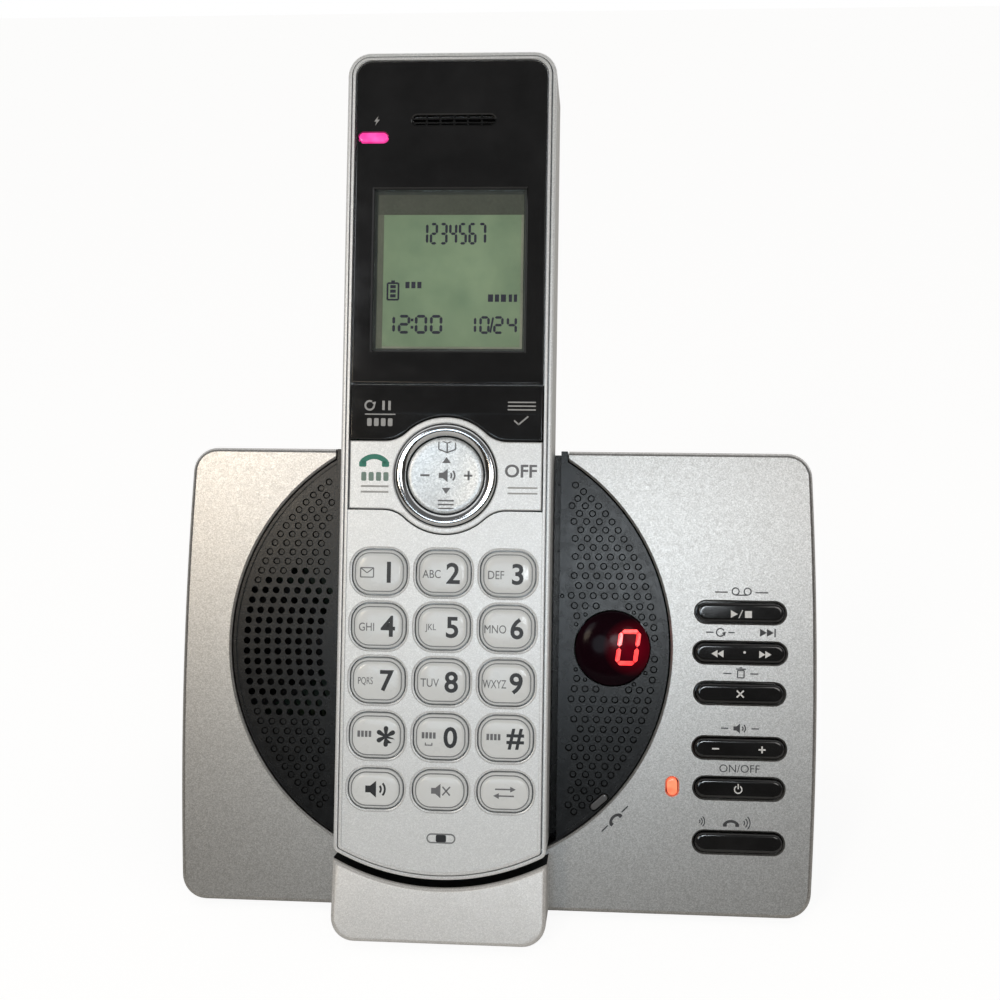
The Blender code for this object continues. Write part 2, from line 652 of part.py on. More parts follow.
def cradle_panel():
    """Black insert: two grille wings and the channel between them."""
    wing = circle((0, 0), INSERT_HOLE_RADIUS - GAP, INSERT_SIDES)
    panel = piece("cradle_panel", [[(wing, flange_back + GAP * 2), (wing, insert_face)]],
                  black_plastic())
    flange = circle((0, 0), flange_radius, INSERT_SIDES)
    ring = guide("panel_flange", [[(flange, flange_back), (flange, flange_front)]])
    join(panel, ring)
    trough_top = guide("trough_top", [[
        (box_outline((-channel_outer, 0), (channel_outer, PLATE_TOP)), flange_front - GAP),
        (box_outline((-channel_outer, 0), (channel_outer, PLATE_TOP)), insert_face)]])
    clip_top = PLATE_TOP - PLATE_WALL - GAP
    clip = guide("flange_clip", [[
        (box_outline((-flange_radius * 2, clip_top), (flange_radius * 2, outer_top + flange_radius)),
         trough_back - OVERRUN),
        (box_outline((-flange_radius * 2, clip_top), (flange_radius * 2, outer_top + flange_radius)),
         OVERRUN)]])
    cut(panel, clip)
    join(panel, trough_top)
    trough = channel_outline(CHANNEL_WALL, PLATE_TOP)
    join(panel, guide("trough", [[(trough, trough_back), (trough, flange_front - GAP)]]))
    standoffs = [disc(place, STANDOFF_RADIUS, trough_back - STANDOFF_LENGTH,
                      trough_back + CHANNEL_FLOOR / 2) for place in STANDOFFS]
    join(panel, guide("standoffs", standoffs))
    trim(panel, panel_wedge)
    channel = channel_outline(0, outer_top)
    cut(panel, guide("channel", [[(channel, channel_depth), (channel, OVERRUN)]]))
    pocket_radius = flange_radius - FLANGE_WIDTH
    pockets = []
    for side in (-1, 1):
        pocket = wing_outline(side, pocket_radius, channel_outer)
        pockets.append([(pocket, flange_back - OVERRUN), (pocket, wing_back)])
    cut(panel, guide("wing_pockets", pockets))
    openings = [disc(place, GRILLE_HOLE_RADIUS, flange_back - OVERRUN, OVERRUN, HOLE_SIDES)
                for place in grille_places()]
    openings.append(disc(LENS_CENTRE, LENS_RADIUS + GAP, flange_back - OVERRUN, OVERRUN, LENS_SIDES))
    light = pill(IN_USE_LIGHT, IN_USE_LIGHT_LENGTH + GAP * 2, IN_USE_LIGHT_WIDTH + GAP * 2,
                 turn=IN_USE_LIGHT_TURN)
    openings.append([(light, flange_back - OVERRUN), (light, OVERRUN)])
    cut(panel, guide("panel_openings", openings))
    slots = []
    for side in (-1, 1):
        outline = contact_outline(side, GAP)
        low = CONTACT_DEPTH - CONTACT_LENGTH / 2 - GAP
        high = CONTACT_DEPTH + CONTACT_LENGTH / 2 + GAP
        slots.append([(outline, low), (outline, high)])
    cut(panel, guide("contact_slots", slots))


def charge_contacts():
    """Two leaves in the channel's seat, on one carrier bar."""
    stacks = []
    for side in (-1, 1):
        outline = contact_outline(side)
        stacks.append([
            (outline, CONTACT_DEPTH - CONTACT_LENGTH / 2),
            (outline, CONTACT_DEPTH + CONTACT_LENGTH / 2)])
    contacts = piece("charge_contacts", stacks[:1], nickel())
    join(contacts, guide("right_contact", stacks[1:]))
    half = CONTACT_SPREAD + CONTACT_WIDTH / 2
    low = -seat_drop - CONTACT_RISE
    bar = box_outline((-half, low), (half, -seat_arc - CHANNEL_WALL - GAP))
    join(contacts, guide("contact_bar", [[
        (bar, CONTACT_DEPTH - CONTACT_LENGTH / 3), (bar, CONTACT_DEPTH)]]))


# Main board behind the channel
MAIN_BOARD_LEFT_INSET = 7.9 * MM        # board's edges in from the plate's
MAIN_BOARD_RIGHT_INSET = 18.7 * MM
MAIN_BOARD_TOP_INSET = 13.6 * MM
MAIN_BOARD_FOOT_INSET = 17.3 * MM
STANDOFF_TOP_INSET = 4.0 * MM           # standoffs in from the board's edge
STANDOFF_FOOT_INSET = 6.0 * MM
STANDOFF_TOP_SET_IN = 4.4 * MM          # standoffs in from the channel's side
STANDOFF_FOOT_SET_IN = 6.4 * MM
CHIP_SIZE = 14.0 * MM
CHIP_HEIGHT = 2.0 * MM
RIGHT_CHIP_SIDE_INSET = 22.0 * MM       # chips' middles in from the board's edges
RIGHT_CHIP_TOP_INSET = 24.0 * MM
LEFT_CHIP_SIDE_INSET = 14.0 * MM
LEFT_CHIP_FOOT_INSET = 20.0 * MM
main_board_left = plate_left + MAIN_BOARD_LEFT_INSET
main_board_right = plate_right - MAIN_BOARD_RIGHT_INSET
main_board_top = PLATE_TOP - MAIN_BOARD_TOP_INSET
main_board_bottom = PLATE_BOTTOM + MAIN_BOARD_FOOT_INSET
STANDOFFS = (
    (-channel_half_width + STANDOFF_TOP_SET_IN, main_board_top - STANDOFF_TOP_INSET),
    (channel_half_width - STANDOFF_TOP_SET_IN, main_board_top - STANDOFF_TOP_INSET),
    (-channel_half_width + STANDOFF_FOOT_SET_IN, main_board_bottom + STANDOFF_FOOT_INSET),
    (channel_half_width - STANDOFF_FOOT_SET_IN, main_board_bottom + STANDOFF_FOOT_INSET))
CHIP_PLACES = (
    (main_board_right - RIGHT_CHIP_SIDE_INSET, main_board_top - RIGHT_CHIP_TOP_INSET),
    (main_board_left + LEFT_CHIP_SIDE_INSET, main_board_bottom + LEFT_CHIP_FOOT_INSET))
main_board_front = trough_back - STANDOFF_LENGTH - GAP
main_board_back = main_board_front - BOARD_THICKNESS


def main_board():
    """Circuit board behind the channel, with its two largest chips."""
    low = (main_board_left, main_board_bottom)
    high = (main_board_right, main_board_top)
    board = piece("main_board", [[
        (box_outline(low, high), main_board_back),
        (box_outline(low, high), main_board_front)]], circuit_board())
    chips = []
    for centre in CHIP_PLACES:
        chip = rounded_box(centre, CHIP_SIZE, CHIP_SIZE, CHIP_HEIGHT / 2, 1)
        chips.append([(chip, main_board_back - CHIP_HEIGHT), (chip, main_board_front - GAP)])
    join(board, guide("board_chips", chips))


def button_board():
    """Board under the base's buttons, the counter and the lights."""
    outline = box_outline(
        (channel_outer + BOARD_CHANNEL_GAP, PLATE_BOTTOM + FIND_RISE - BOARD_FOOT_REACH),
        (plate_right - BOARD_SIDE_INSET, PLATE_BOTTOM + PLAY_STOP_RISE + BOARD_TOP_REACH))
    piece("button_board", [[
        (outline, button_board_front - BOARD_THICKNESS),
        (outline, button_board_front)]], circuit_board())


def button_membrane():
    """Rubber sheet with a dome under every stem."""
    outline = box_outline(
        (BUTTON_CENTRE - MEMBRANE_LEFT_REACH, PLATE_BOTTOM + FIND_RISE - MEMBRANE_FOOT_REACH),
        (BUTTON_CENTRE + MEMBRANE_RIGHT_REACH, PLATE_BOTTOM + PLAY_STOP_RISE + MEMBRANE_TOP_REACH))
    sheet = piece("button_membrane", [[
        (outline, membrane_back),
        (outline, membrane_back + MEMBRANE_THICKNESS)]], membrane_rubber())
    places = [(BUTTON_CENTRE, v) for name, v in PUSH_BUTTONS]
    places += [(BUTTON_CENTRE + side * ROCKER_STEM, v) for name, v in ROCKERS for side in (-1, 1)]
    join(sheet, guide("membrane_domes", [
        disc(place, DOME_RADIUS, membrane_back + MEMBRANE_THICKNESS / 2, dome_top, HOLE_SIDES)
        for place in places]))
    cut(sheet, guide("membrane_holes", [
        disc((BUTTON_CENTRE, v), BOARD_BOSS_RADIUS + GAP, membrane_back - OVERRUN, dome_top + OVERRUN)
        for v in BOARD_BOSSES]))


def button_cap(v, length):
    """Cap of a base button, from its bottom behind the plate to its rounded edge."""
    centre = (BUTTON_CENTRE, v)
    full = pill(centre, length, BUTTON_WIDTH)
    crown = pill(centre, length - BUTTON_CROWN * 2, BUTTON_WIDTH - BUTTON_CROWN * 2)
    return [
        (full, flange_front - BUTTON_FLANGE / 2),
        (full, BUTTON_STAND - BUTTON_CROWN),
        (crown, BUTTON_STAND)]


def push_button(name, v):
    """Button that slides straight in, held behind the plate by its flange."""
    button = piece(name, [button_cap(v, BUTTON_LENGTH)], gloss_black(),
                   origin=(BUTTON_CENTRE, v, flange_front))
    rim = pill((BUTTON_CENTRE, v), BUTTON_LENGTH + GAP * 4, BUTTON_WIDTH + GAP * 4)
    join(button, guide(name + "_flange", [[(rim, flange_front - BUTTON_FLANGE), (rim, flange_front)]]))
    join(button, guide(name + "_stem", [
        disc((BUTTON_CENTRE, v), STEM_RADIUS, stem_foot, flange_front - BUTTON_FLANGE / 2)]))


def rocker_button(name, v):
    """Long key that tips about its middle, with a stem under each end."""
    button = piece(name, [button_cap(v, ROCKER_LENGTH)], gloss_black(),
                   origin=(BUTTON_CENTRE, v, flange_front))
    tab = rounded_box((BUTTON_CENTRE, v), ROCKER_TAB_LENGTH, BUTTON_WIDTH + GAP * 6, GAP)
    join(button, guide(name + "_tabs", [[(tab, flange_front - BUTTON_FLANGE), (tab, flange_front)]]))
    join(button, guide(name + "_stems", [
        disc((BUTTON_CENTRE + side * ROCKER_STEM, v), STEM_RADIUS, stem_foot,
             flange_front - BUTTON_FLANGE / 2 + GAP) for side in (-1, 1)]))


def counter_window():
    """Domed dark red lens and the digit block behind it."""
    rim = circle(LENS_CENTRE, LENS_RADIUS, LENS_SIDES)
    collar = circle(LENS_CENTRE, LENS_RADIUS + LENS_FLANGE, LENS_SIDES)
    collar_top = wing_back - GAP
    collar_back = collar_top - LENS_FLANGE
    rings = [(collar, collar_back), (collar, collar_top), (rim, collar_top), (rim, insert_face)]
    for share in LENS_DOME_SHARES:
        radius = LENS_RADIUS * math.cos(share * math.pi / 2)
        height = insert_face + LENS_DOME * math.sin(share * math.pi / 2)
        rings.append((circle(LENS_CENTRE, radius, LENS_SIDES), height))
    piece("display_lens", [rings], dark_red_lens())
    block = rounded_box(LENS_CENTRE, LENS_RADIUS * 2 - COUNTER_SIDE_MARGIN,
                        LENS_RADIUS * 2 - COUNTER_END_MARGIN, LENS_RIM, 1)
    piece("display_module", [[
        (block, button_board_front + GAP),
        (block, collar_back - GAP)]], gloss_black())


def base_lights():
    """Light guides for the answer light and the in-use light."""
    lit = pill(ANSWER_LIGHT, ANSWER_LIGHT_LENGTH, ANSWER_LIGHT_WIDTH, turn=90)
    piece("answer_light", [[(lit, button_board_front + GAP), (lit, LIGHT_STAND)]],
          material("orange_light", (0.95, 0.22, 0.10), 0.3, glow=(1.0, 0.20, 0.08)))
    dark = pill(IN_USE_LIGHT, IN_USE_LIGHT_LENGTH, IN_USE_LIGHT_WIDTH, turn=IN_USE_LIGHT_TURN)
    piece("in_use_light", [[(dark, button_board_front + GAP), (dark, insert_face + LIGHT_STAND)]],
          material("grey_light", (0.45, 0.45, 0.46), 0.3))


# Loudspeaker behind the left wing
SPEAKER_SIDE_GAP = 1.5 * MM     # driver from the cover's side wall
SPEAKER_CHANNEL_GAP = 2.4 * MM  # driver from the channel
SPEAKER_RADIUS = (-channel_outer - plate_left - PLATE_WALL - SPEAKER_SIDE_GAP - SPEAKER_CHANNEL_GAP) / 2
SPEAKER_CENTRE = (-channel_outer - SPEAKER_CHANNEL_GAP - SPEAKER_RADIUS, 0)
SPEAKER_RIM = 1.2 * MM
SPEAKER_BASKET_DEPTH = 6.0 * MM
SPEAKER_BASKET_TAPER = 5.0 * MM # basket's back smaller than its rim
SPEAKER_BASKET_RADIUS = SPEAKER_RADIUS - SPEAKER_BASKET_TAPER
SPEAKER_WALL = 1.0 * MM
CONE_BORDER = 3.5 * MM          # cone's edge in from the rim
CONE_RADIUS = SPEAKER_RADIUS - CONE_BORDER
CONE_THROAT = 4.0 * MM
CONE_DEPTH = 3.4 * MM
CONE_THICKNESS = 0.6 * MM
MAGNET_BORDER = 1.0 * MM        # magnet smaller than the basket's back
MAGNET_RADIUS = SPEAKER_BASKET_RADIUS - MAGNET_BORDER
MAGNET_DEPTH = 4.0 * MM
SPEAKER_SIDES = 24


def speaker():
    """Round driver: pressed basket with its magnet, and a paper cone."""
    rim_top = flange_back - GAP
    rim_back = rim_top - SPEAKER_RIM
    basket_back = rim_top - SPEAKER_BASKET_DEPTH

    def ring(radius):
        return circle(SPEAKER_CENTRE, radius, SPEAKER_SIDES)

    inner = SPEAKER_RADIUS - SPEAKER_WALL * 2
    basket = piece("speaker_basket", [[
        (ring(SPEAKER_BASKET_RADIUS), basket_back),
        (ring(inner + SPEAKER_WALL), rim_back),
        (ring(SPEAKER_RADIUS), rim_back),
        (ring(SPEAKER_RADIUS), rim_top),
        (ring(inner), rim_top),
        (ring(SPEAKER_BASKET_RADIUS - SPEAKER_WALL), basket_back + SPEAKER_WALL)]], steel())
    cone_top = rim_top - GAP
    piece("speaker_cone", [[
        (ring(CONE_THROAT), cone_top - CONE_DEPTH - CONE_THICKNESS),
        (ring(CONE_RADIUS), cone_top - CONE_THICKNESS),
        (ring(CONE_RADIUS), cone_top),
        (ring(CONE_THROAT), cone_top - CONE_DEPTH)]], paper_cone())
    join(basket, guide("speaker_magnet", [[
        (ring(MAGNET_RADIUS), basket_back - MAGNET_DEPTH),
        (ring(MAGNET_RADIUS), basket_back + SPEAKER_WALL / 2)]]))


# Rear housing with its feet, screws and sockets
JACK_RISE = 13.0 * MM           # socket centres above the rear wall's lower edge
LINE_JACK_X = 18.0 * MM         # to the right of the middle, seen from behind
LINE_JACK_WIDTH = 14.0 * MM
LINE_JACK_HEIGHT = 12.0 * MM
LINE_JACK_DEPTH = 14.0 * MM
LINE_SOCKET_WIDTH = 9.8 * MM
LINE_SOCKET_HEIGHT = 6.8 * MM
LINE_SOCKET_DEPTH = 11.0 * MM
LATCH_WIDTH = 3.4 * MM
LATCH_HEIGHT = 1.8 * MM
POWER_JACK_X = -18.0 * MM
POWER_JACK_WIDTH = 10.0 * MM
POWER_JACK_DEPTH = 12.0 * MM
POWER_SOCKET_RADIUS = 2.9 * MM
POWER_SOCKET_DEPTH = 9.0 * MM
POWER_PIN_RADIUS = 0.9 * MM
JACK_SETBACK = 0.4 * MM         # jack's face below the rear wall's face
VENT_COUNT = 9
VENT_PITCH = 4.4 * MM
VENT_WIDTH = 1.6 * MM
VENT_LENGTH = 14.0 * MM
VENT_TOP_INSET = 25.562086 * MM # middle of the vents below the rear wall's top


FOOT_NAMES = ("foot_front_left", "foot_rear_left", "foot_front_right", "foot_rear_right")


def foot_places():
    """Centres of the feet on the underside, in world x and y."""
    half = PLATE_HALF_WIDTH - FOOT_INSET
    front = depth_of(PLATE_BOTTOM, 0) + centre_shift + FOOT_FRONT_INSET
    rear = REAR_REACH + centre_shift - FOOT_REAR_INSET
    return [(side * half, y) for side in (-1, 1) for y in (front, rear)]


def rear_housing():
    """Dark rear half of the body: sides, underside and rear wall."""
    outline = plate_outline()
    start = rear_depth - OVERRUN
    housing = piece("rear_housing", [[(outline, start), (outline, seam - GAP)]], black_plastic())
    trim(housing, outer_wedge)
    room = guide("housing_room", [[
        (plate_outline(HOUSING_WALL), start - OVERRUN),
        (plate_outline(HOUSING_WALL), OVERRUN)]])
    trim(room, inner_wedge)
    cut(housing, room)
    notch = box_outline((-channel_outer - GAP, 0), (channel_outer + GAP, outer_top))
    cut(housing, guide("housing_notch", [[(notch, trough_back - GAP), (notch, OVERRUN)]]))
    posts = guide("screw_posts", [disc(place, POST_RADIUS, rear_depth, seam - GAP)
                                  for place in BODY_SCREWS])
    trim(posts, outer_wedge)
    trim(posts, guide("post_limit", [[(plate_outline(GAP), rear_depth - OVERRUN * 2),
                                      (plate_outline(GAP), OVERRUN)]]))
    join(housing, posts)
    wells = []
    for place in BODY_SCREWS:
        wells.append(disc(place, SCREW_RADIUS + GAP, seam - POST_FACE - OVERRUN, OVERRUN))
        wells.append(disc(place, SCREW_HEAD_RADIUS + GAP, rear_depth - OVERRUN * 2,
                          seam - GAP - POST_FACE))
    for index in range(2):
        cut(housing, guide("screw_wells_%d" % index, wells[index::2]))
    recesses = [[(circle(place, FOOT_RADIUS + GAP, ROUND_SIDES * 2), FOOT_HEIGHT - OVERRUN),
                 (circle(place, FOOT_RADIUS + GAP, ROUND_SIDES * 2), FOOT_HEIGHT + FOOT_RECESS)]
                for place in foot_places()]
    cut(housing, guide("foot_recesses", recesses, parent=None))
    openings = [
        [(rounded_box((x, JACK_RISE), width + GAP * 2, height + GAP * 2, GAP, 1), -HOUSING_WALL - OVERRUN),
         (rounded_box((x, JACK_RISE), width + GAP * 2, height + GAP * 2, GAP, 1), OVERRUN)]
        for x, width, height in (
            (LINE_JACK_X, LINE_JACK_WIDTH, LINE_JACK_HEIGHT),
            (POWER_JACK_X, POWER_JACK_WIDTH, POWER_JACK_WIDTH))]
    for index in range(VENT_COUNT):
        x = (index - (VENT_COUNT - 1) / 2) * VENT_PITCH
        vent = pill((x, rear_length - VENT_TOP_INSET), VENT_LENGTH, VENT_WIDTH, steps=2, turn=90)
        openings.append([(vent, -HOUSING_WALL - OVERRUN), (vent, OVERRUN)])
    cut(housing, guide("rear_openings", openings, parent=rear_frame))


def rubber_feet():
    """Four feet set into the underside."""
    for name, place in zip(FOOT_NAMES, foot_places()):
        full = circle(place, FOOT_RADIUS, ROUND_SIDES * 2)
        sole = circle(place, FOOT_RADIUS - FOOT_RECESS / 2, ROUND_SIDES * 2)
        piece(name, [[
            (sole, 0),
            (full, FOOT_RECESS / 2),
            (full, FOOT_HEIGHT + FOOT_RECESS - GAP)]], rubber(), parent=None)


def body_screws():
    """Two screws up the posts into the front cover."""
    head_top = seam - GAP * 2 - POST_FACE
    for name, place in zip(("body_screw_left", "body_screw_right"), BODY_SCREWS):
        head = circle(place, SCREW_HEAD_RADIUS)
        shank = circle(place, SCREW_RADIUS)
        piece(name, [[
            (head, head_top - SCREW_HEAD_HEIGHT),
            (head, head_top),
            (shank, head_top),
            (shank, head_top + SCREW_LENGTH)]], steel())


def line_jack():
    """Telephone socket in the rear wall."""
    centre = (LINE_JACK_X, JACK_RISE)
    block = box_outline(
        (centre[0] - LINE_JACK_WIDTH / 2, centre[1] - LINE_JACK_HEIGHT / 2),
        (centre[0] + LINE_JACK_WIDTH / 2, centre[1] + LINE_JACK_HEIGHT / 2))
    jack = piece("line_jack", [[(block, -JACK_SETBACK - LINE_JACK_DEPTH), (block, -JACK_SETBACK)]],
                 black_plastic(), parent=rear_frame)
    low = (centre[0] - LINE_SOCKET_WIDTH / 2, centre[1] - LINE_SOCKET_HEIGHT / 2)
    high = (centre[0] + LINE_SOCKET_WIDTH / 2, centre[1] + LINE_SOCKET_HEIGHT / 2)
    latch_low = (centre[0] - LATCH_WIDTH / 2, low[1] - LATCH_HEIGHT)
    latch_high = (centre[0] + LATCH_WIDTH / 2, centre[1])
    cut(jack, guide("line_socket", [[
        (box_outline(low, high), -JACK_SETBACK - LINE_SOCKET_DEPTH),
        (box_outline(low, high), OVERRUN)]], parent=rear_frame))
    cut(jack, guide("latch_slot", [[
        (box_outline(latch_low, latch_high), -JACK_SETBACK - LINE_SOCKET_DEPTH),
        (box_outline(latch_low, latch_high), OVERRUN)]], parent=rear_frame))


def power_jack():
    """Round socket for the mains adaptor, with its centre pin."""
    centre = (POWER_JACK_X, JACK_RISE)
    half = POWER_JACK_WIDTH / 2
    block = box_outline((centre[0] - half, centre[1] - half), (centre[0] + half, centre[1] + half))
    jack = piece("power_jack", [[(block, -JACK_SETBACK - POWER_JACK_DEPTH), (block, -JACK_SETBACK)]],
                 black_plastic(), parent=rear_frame)
    cut(jack, guide("power_socket", [
        disc(centre, POWER_SOCKET_RADIUS, -JACK_SETBACK - POWER_SOCKET_DEPTH, OVERRUN, ROUND_SIDES * 2)],
        parent=rear_frame))
    join(jack, guide("power_pin", [
        disc(centre, POWER_PIN_RADIUS, -JACK_SETBACK - POWER_SOCKET_DEPTH - GAP,
             -JACK_SETBACK - POWER_SOCKET_RADIUS)], parent=rear_frame))


# Handset: places on its front; rises count from its foot, insets from its top
FACEPLATE_RISE = 105.7 * MM
FACEPLATE_BOTTOM = handset_foot + FACEPLATE_RISE
FACEPLATE_THICKNESS = 1.5 * MM
EARPIECE_INSET = 14.8 * MM
EARPIECE_HEIGHT = handset_top - EARPIECE_INSET
EARPIECE_SLOT_LENGTH = 18.0 * MM
EARPIECE_SLOT_WIDTH = 2.2 * MM
EARPIECE_RADIUS = 9.5 * MM
EARPIECE_DEPTH = 2.6 * MM
CHARGE_LIGHT_SIDE = 16.9 * MM   # left of the middle
CHARGE_LIGHT_INSET = 18.6 * MM
CHARGE_LIGHT = (-CHARGE_LIGHT_SIDE, handset_top - CHARGE_LIGHT_INSET)
CHARGE_LIGHT_LENGTH = 6.2 * MM
CHARGE_LIGHT_WIDTH = 2.0 * MM
WINDOW_RISE = 113.0 * MM
WINDOW_INSET = 30.1 * MM
WINDOW_BOTTOM = handset_foot + WINDOW_RISE
WINDOW_TOP = handset_top - WINDOW_INSET
WINDOW_HALF_WIDTH = 16.2 * MM
WINDOW_THICKNESS = 1.1 * MM
WINDOW_RECESS = 0.4 * MM        # window's face below the faceplate's face
LCD_MARGIN = 0.8 * MM           # display module past its window
BAND_RISE = 85.9 * MM           # middle of the navigation control
BAND_CENTRE = handset_foot + BAND_RISE
BAND_HALF_HEIGHT = 7.3 * MM
BAND_SWELL = 12.5 * MM          # radius of the band round the control
BAND_FILLET = 7.0 * MM
BAND_THICKNESS = 2.8 * MM
BAND_TILT_STEM = 12.0 * MM      # stems to each side of a band's pivot
SOFT_KEY_TOP_RISE = 105.2 * MM
SOFT_KEY_TOP = handset_foot + SOFT_KEY_TOP_RISE
RING_HOLE = 11.2 * MM
RING_RADIUS = 10.9 * MM
RING_INNER = 8.5 * MM
RING_STAND = 0.5 * MM           # ring's crest above the panel
RING_SIDES = 32
RING_CREST_SHARES = ((1.0, 0.0), (0.93, 0.8), (0.78, 1.0), (0.6, 0.75), (0.3, 0.3))
PAD_RADIUS = 8.2 * MM
PAD_THICKNESS = 2.6 * MM
PAD_EDGE = 0.4 * MM
PAD_STEM = 5.5 * MM
MICROPHONE_RISE = 9.1 * MM
MICROPHONE_HEIGHT = handset_foot + MICROPHONE_RISE
MICROPHONE_SLOT_LENGTH = 6.0 * MM
MICROPHONE_SLOT_WIDTH = 1.7 * MM
MICROPHONE_RADIUS = 3.0 * MM

# Keypad: three columns, five rows
KEY_COLUMN_PITCH = 13.8 * MM
KEY_ROW_RISES = (65.0 * MM, 53.5 * MM, 41.9 * MM, 30.2 * MM, 18.9 * MM)
KEY_ROWS = tuple(handset_foot + rise for rise in KEY_ROW_RISES)
KEY_WIDTH = 11.6 * MM
KEY_HEIGHT = 9.5 * MM
LAST_KEY_HEIGHT = 8.3 * MM
KEY_CORNER = 3.8 * MM
KEY_CORNER_STEPS = 2
KEY_CROWN = 0.9 * MM
KEY_STAND = 0.5 * MM            # key's face above the panel
KEY_FLANGE = 0.8 * MM
KEY_FLANGE_THICKNESS = 0.8 * MM
KEY_TRAVEL = 0.7 * MM
KEY_NAMES = (
    ("key_1", "key_2", "key_3"),
    ("key_4", "key_5", "key_6"),
    ("key_7", "key_8", "key_9"),
    ("key_star", "key_0", "key_hash"),
    ("key_speaker", "key_mute", "key_intercom"))

# Inside the handset, from front to back
HANDSET_BOARD_DROP = 3.9 * MM   # board's face behind the front frame's back
KEYPAD_SHEET = 0.6 * MM
KEYPAD_DOME = 0.4 * MM
KEYPAD_DOME_RADIUS = 2.4 * MM
HANDSET_BOARD_MARGIN = 2.2 * MM
HANDSET_WALL = 1.6 * MM         # rear shell's wall below its rim
BATTERY_HALF_WIDTH = 10.8 * MM
BATTERY_RISE = 24.6 * MM
BATTERY_BOTTOM = handset_foot + BATTERY_RISE
BATTERY_LENGTH = 46.0 * MM
BATTERY_RADIUS = 5.2 * MM
BATTERY_COVER_HALF_WIDTH = 15.0 * MM
BATTERY_COVER_MARGIN = 6.0 * MM
BATTERY_COVER_THICKNESS = 1.6 * MM
BATTERY_ROOF = 1.2 * MM
TOP_SCREW_SIDE = 16.5 * MM      # left of the middle
TOP_SCREW_INSET = 7.0 * MM
LOW_SCREW_SIDE = 17.5 * MM      # right of the middle
LOW_SCREW_RISE = 10.6 * MM
HANDSET_SCREWS = (
    (-TOP_SCREW_SIDE, handset_top - TOP_SCREW_INSET),
    (LOW_SCREW_SIDE, handset_foot + LOW_SCREW_RISE))
HANDSET_SCREW_RADIUS = 0.8 * MM
HANDSET_HEAD_RADIUS = 1.6 * MM
HANDSET_HEAD_HEIGHT = 1.2 * MM
HANDSET_SCREW_WELL = 8.0 * MM   # depth of the screw head's well
HANDSET_POST_RADIUS = 2.9 * MM
FRAME_BOSS_RADIUS = 1.8 * MM
RIM_ROUND = 0.4 * MM
LEDGE_WIDTH = 2.0 * MM
LEDGE_THICKNESS = 1.2 * MM
COVER_EDGE = 0.4 * MM
BATTERY_COVER_CORNER = 3.0 * MM
STRIP_PLATE_WIDTH = 3.0 * MM
STRIP_PLATE_HEIGHT = 3.4 * MM
STRIP_BAR_RISE = 2.1 * MM       # carrier bar above the strips' lower edge
STRIP_PLATE_LENGTH = 7.0 * MM

strip_front = HANDSET_FRONT
panel_front = HANDSET_FRONT - PANEL_DROP
frame_back = panel_front - FRAME_THICKNESS
rim_front = HANDSET_FRONT - RIM_DROP
frame_inset = RIM_WIDTH + GAP
panel_inset = frame_inset + STRIP_WIDTH
band_half_width = HANDSET_HALF_WIDTH - panel_inset - GAP
board_front = frame_back - HANDSET_BOARD_DROP
board_back = board_front - BOARD_THICKNESS
sheet_front = board_front + GAP + KEYPAD_SHEET
key_dome_top = sheet_front + KEYPAD_DOME
key_foot = key_dome_top + GAP + KEY_TRAVEL
window_bottom_front = panel_front - WINDOW_RECESS
shell_floor = handset_back + HANDSET_WALL


def window_outline(spread=0.0):
    return box_outline((-WINDOW_HALF_WIDTH - spread, WINDOW_BOTTOM - spread),
                       (WINDOW_HALF_WIDTH + spread, WINDOW_TOP + spread))


def swell_edge(half_width, half_height, radius, fillet, steps=CORNER_STEPS):
    """Upper edge of a band that swells round the control, from right to left."""
    fillet_v = half_height + fillet
    fillet_u = math.sqrt((radius + fillet) ** 2 - fillet_v ** 2)
    swing = math.degrees(math.atan2(fillet_v, fillet_u))
    right = [(half_width, half_height)]
    right += arc((fillet_u, fillet_v), fillet, 270, 180 + swing, steps)
    crown = arc((0, 0), radius, swing, 180 - swing, steps * 2)[1:-1]
    left = [(-u, v) for u, v in reversed(right)]
    return [(u, BAND_CENTRE + v) for u, v in right + crown + left]


def band_outline(spread=0.0):
    """Talk and off band: straight ends, round middle."""
    upper = swell_edge(band_half_width + spread, BAND_HALF_HEIGHT + spread,
                       BAND_SWELL + spread, BAND_FILLET - spread)
    lower = [(-u, BAND_CENTRE * 2 - v) for u, v in upper]
    return upper + lower


def soft_key_outline(spread=0.0):
    """Black band above, its lower edge following the talk and off band."""
    lower = swell_edge(band_half_width + spread, BAND_HALF_HEIGHT + GAP - spread,
                       BAND_SWELL + GAP - spread, BAND_FILLET - GAP + spread)
    top = SOFT_KEY_TOP + spread
    return [(band_half_width + spread, top), (-band_half_width - spread, top)] + lower[::-1]


def faceplate_outline(inset=0.0):
    """Gloss black front, from the soft keys to the top."""
    half = HANDSET_HALF_WIDTH - panel_inset - GAP - inset
    top = handset_top - panel_inset - GAP - inset
    bottom = FACEPLATE_BOTTOM + inset
    corner = HANDSET_CORNER - panel_inset - inset
    return ([(half, bottom)] + arc((half - corner, top - corner), corner, 0, 90)
            + arc((-half + corner, top - corner), corner, 90, 180) + [(-half, bottom)])


def key_places():
    """Name, centre and height of every key."""
    places = []
    for names, v in zip(KEY_NAMES, KEY_ROWS):
        height = LAST_KEY_HEIGHT if v == KEY_ROWS[-1] else KEY_HEIGHT
        for name, column in zip(names, (-1, 0, 1)):
            places.append((name, (column * KEY_COLUMN_PITCH, v), height))
    return places


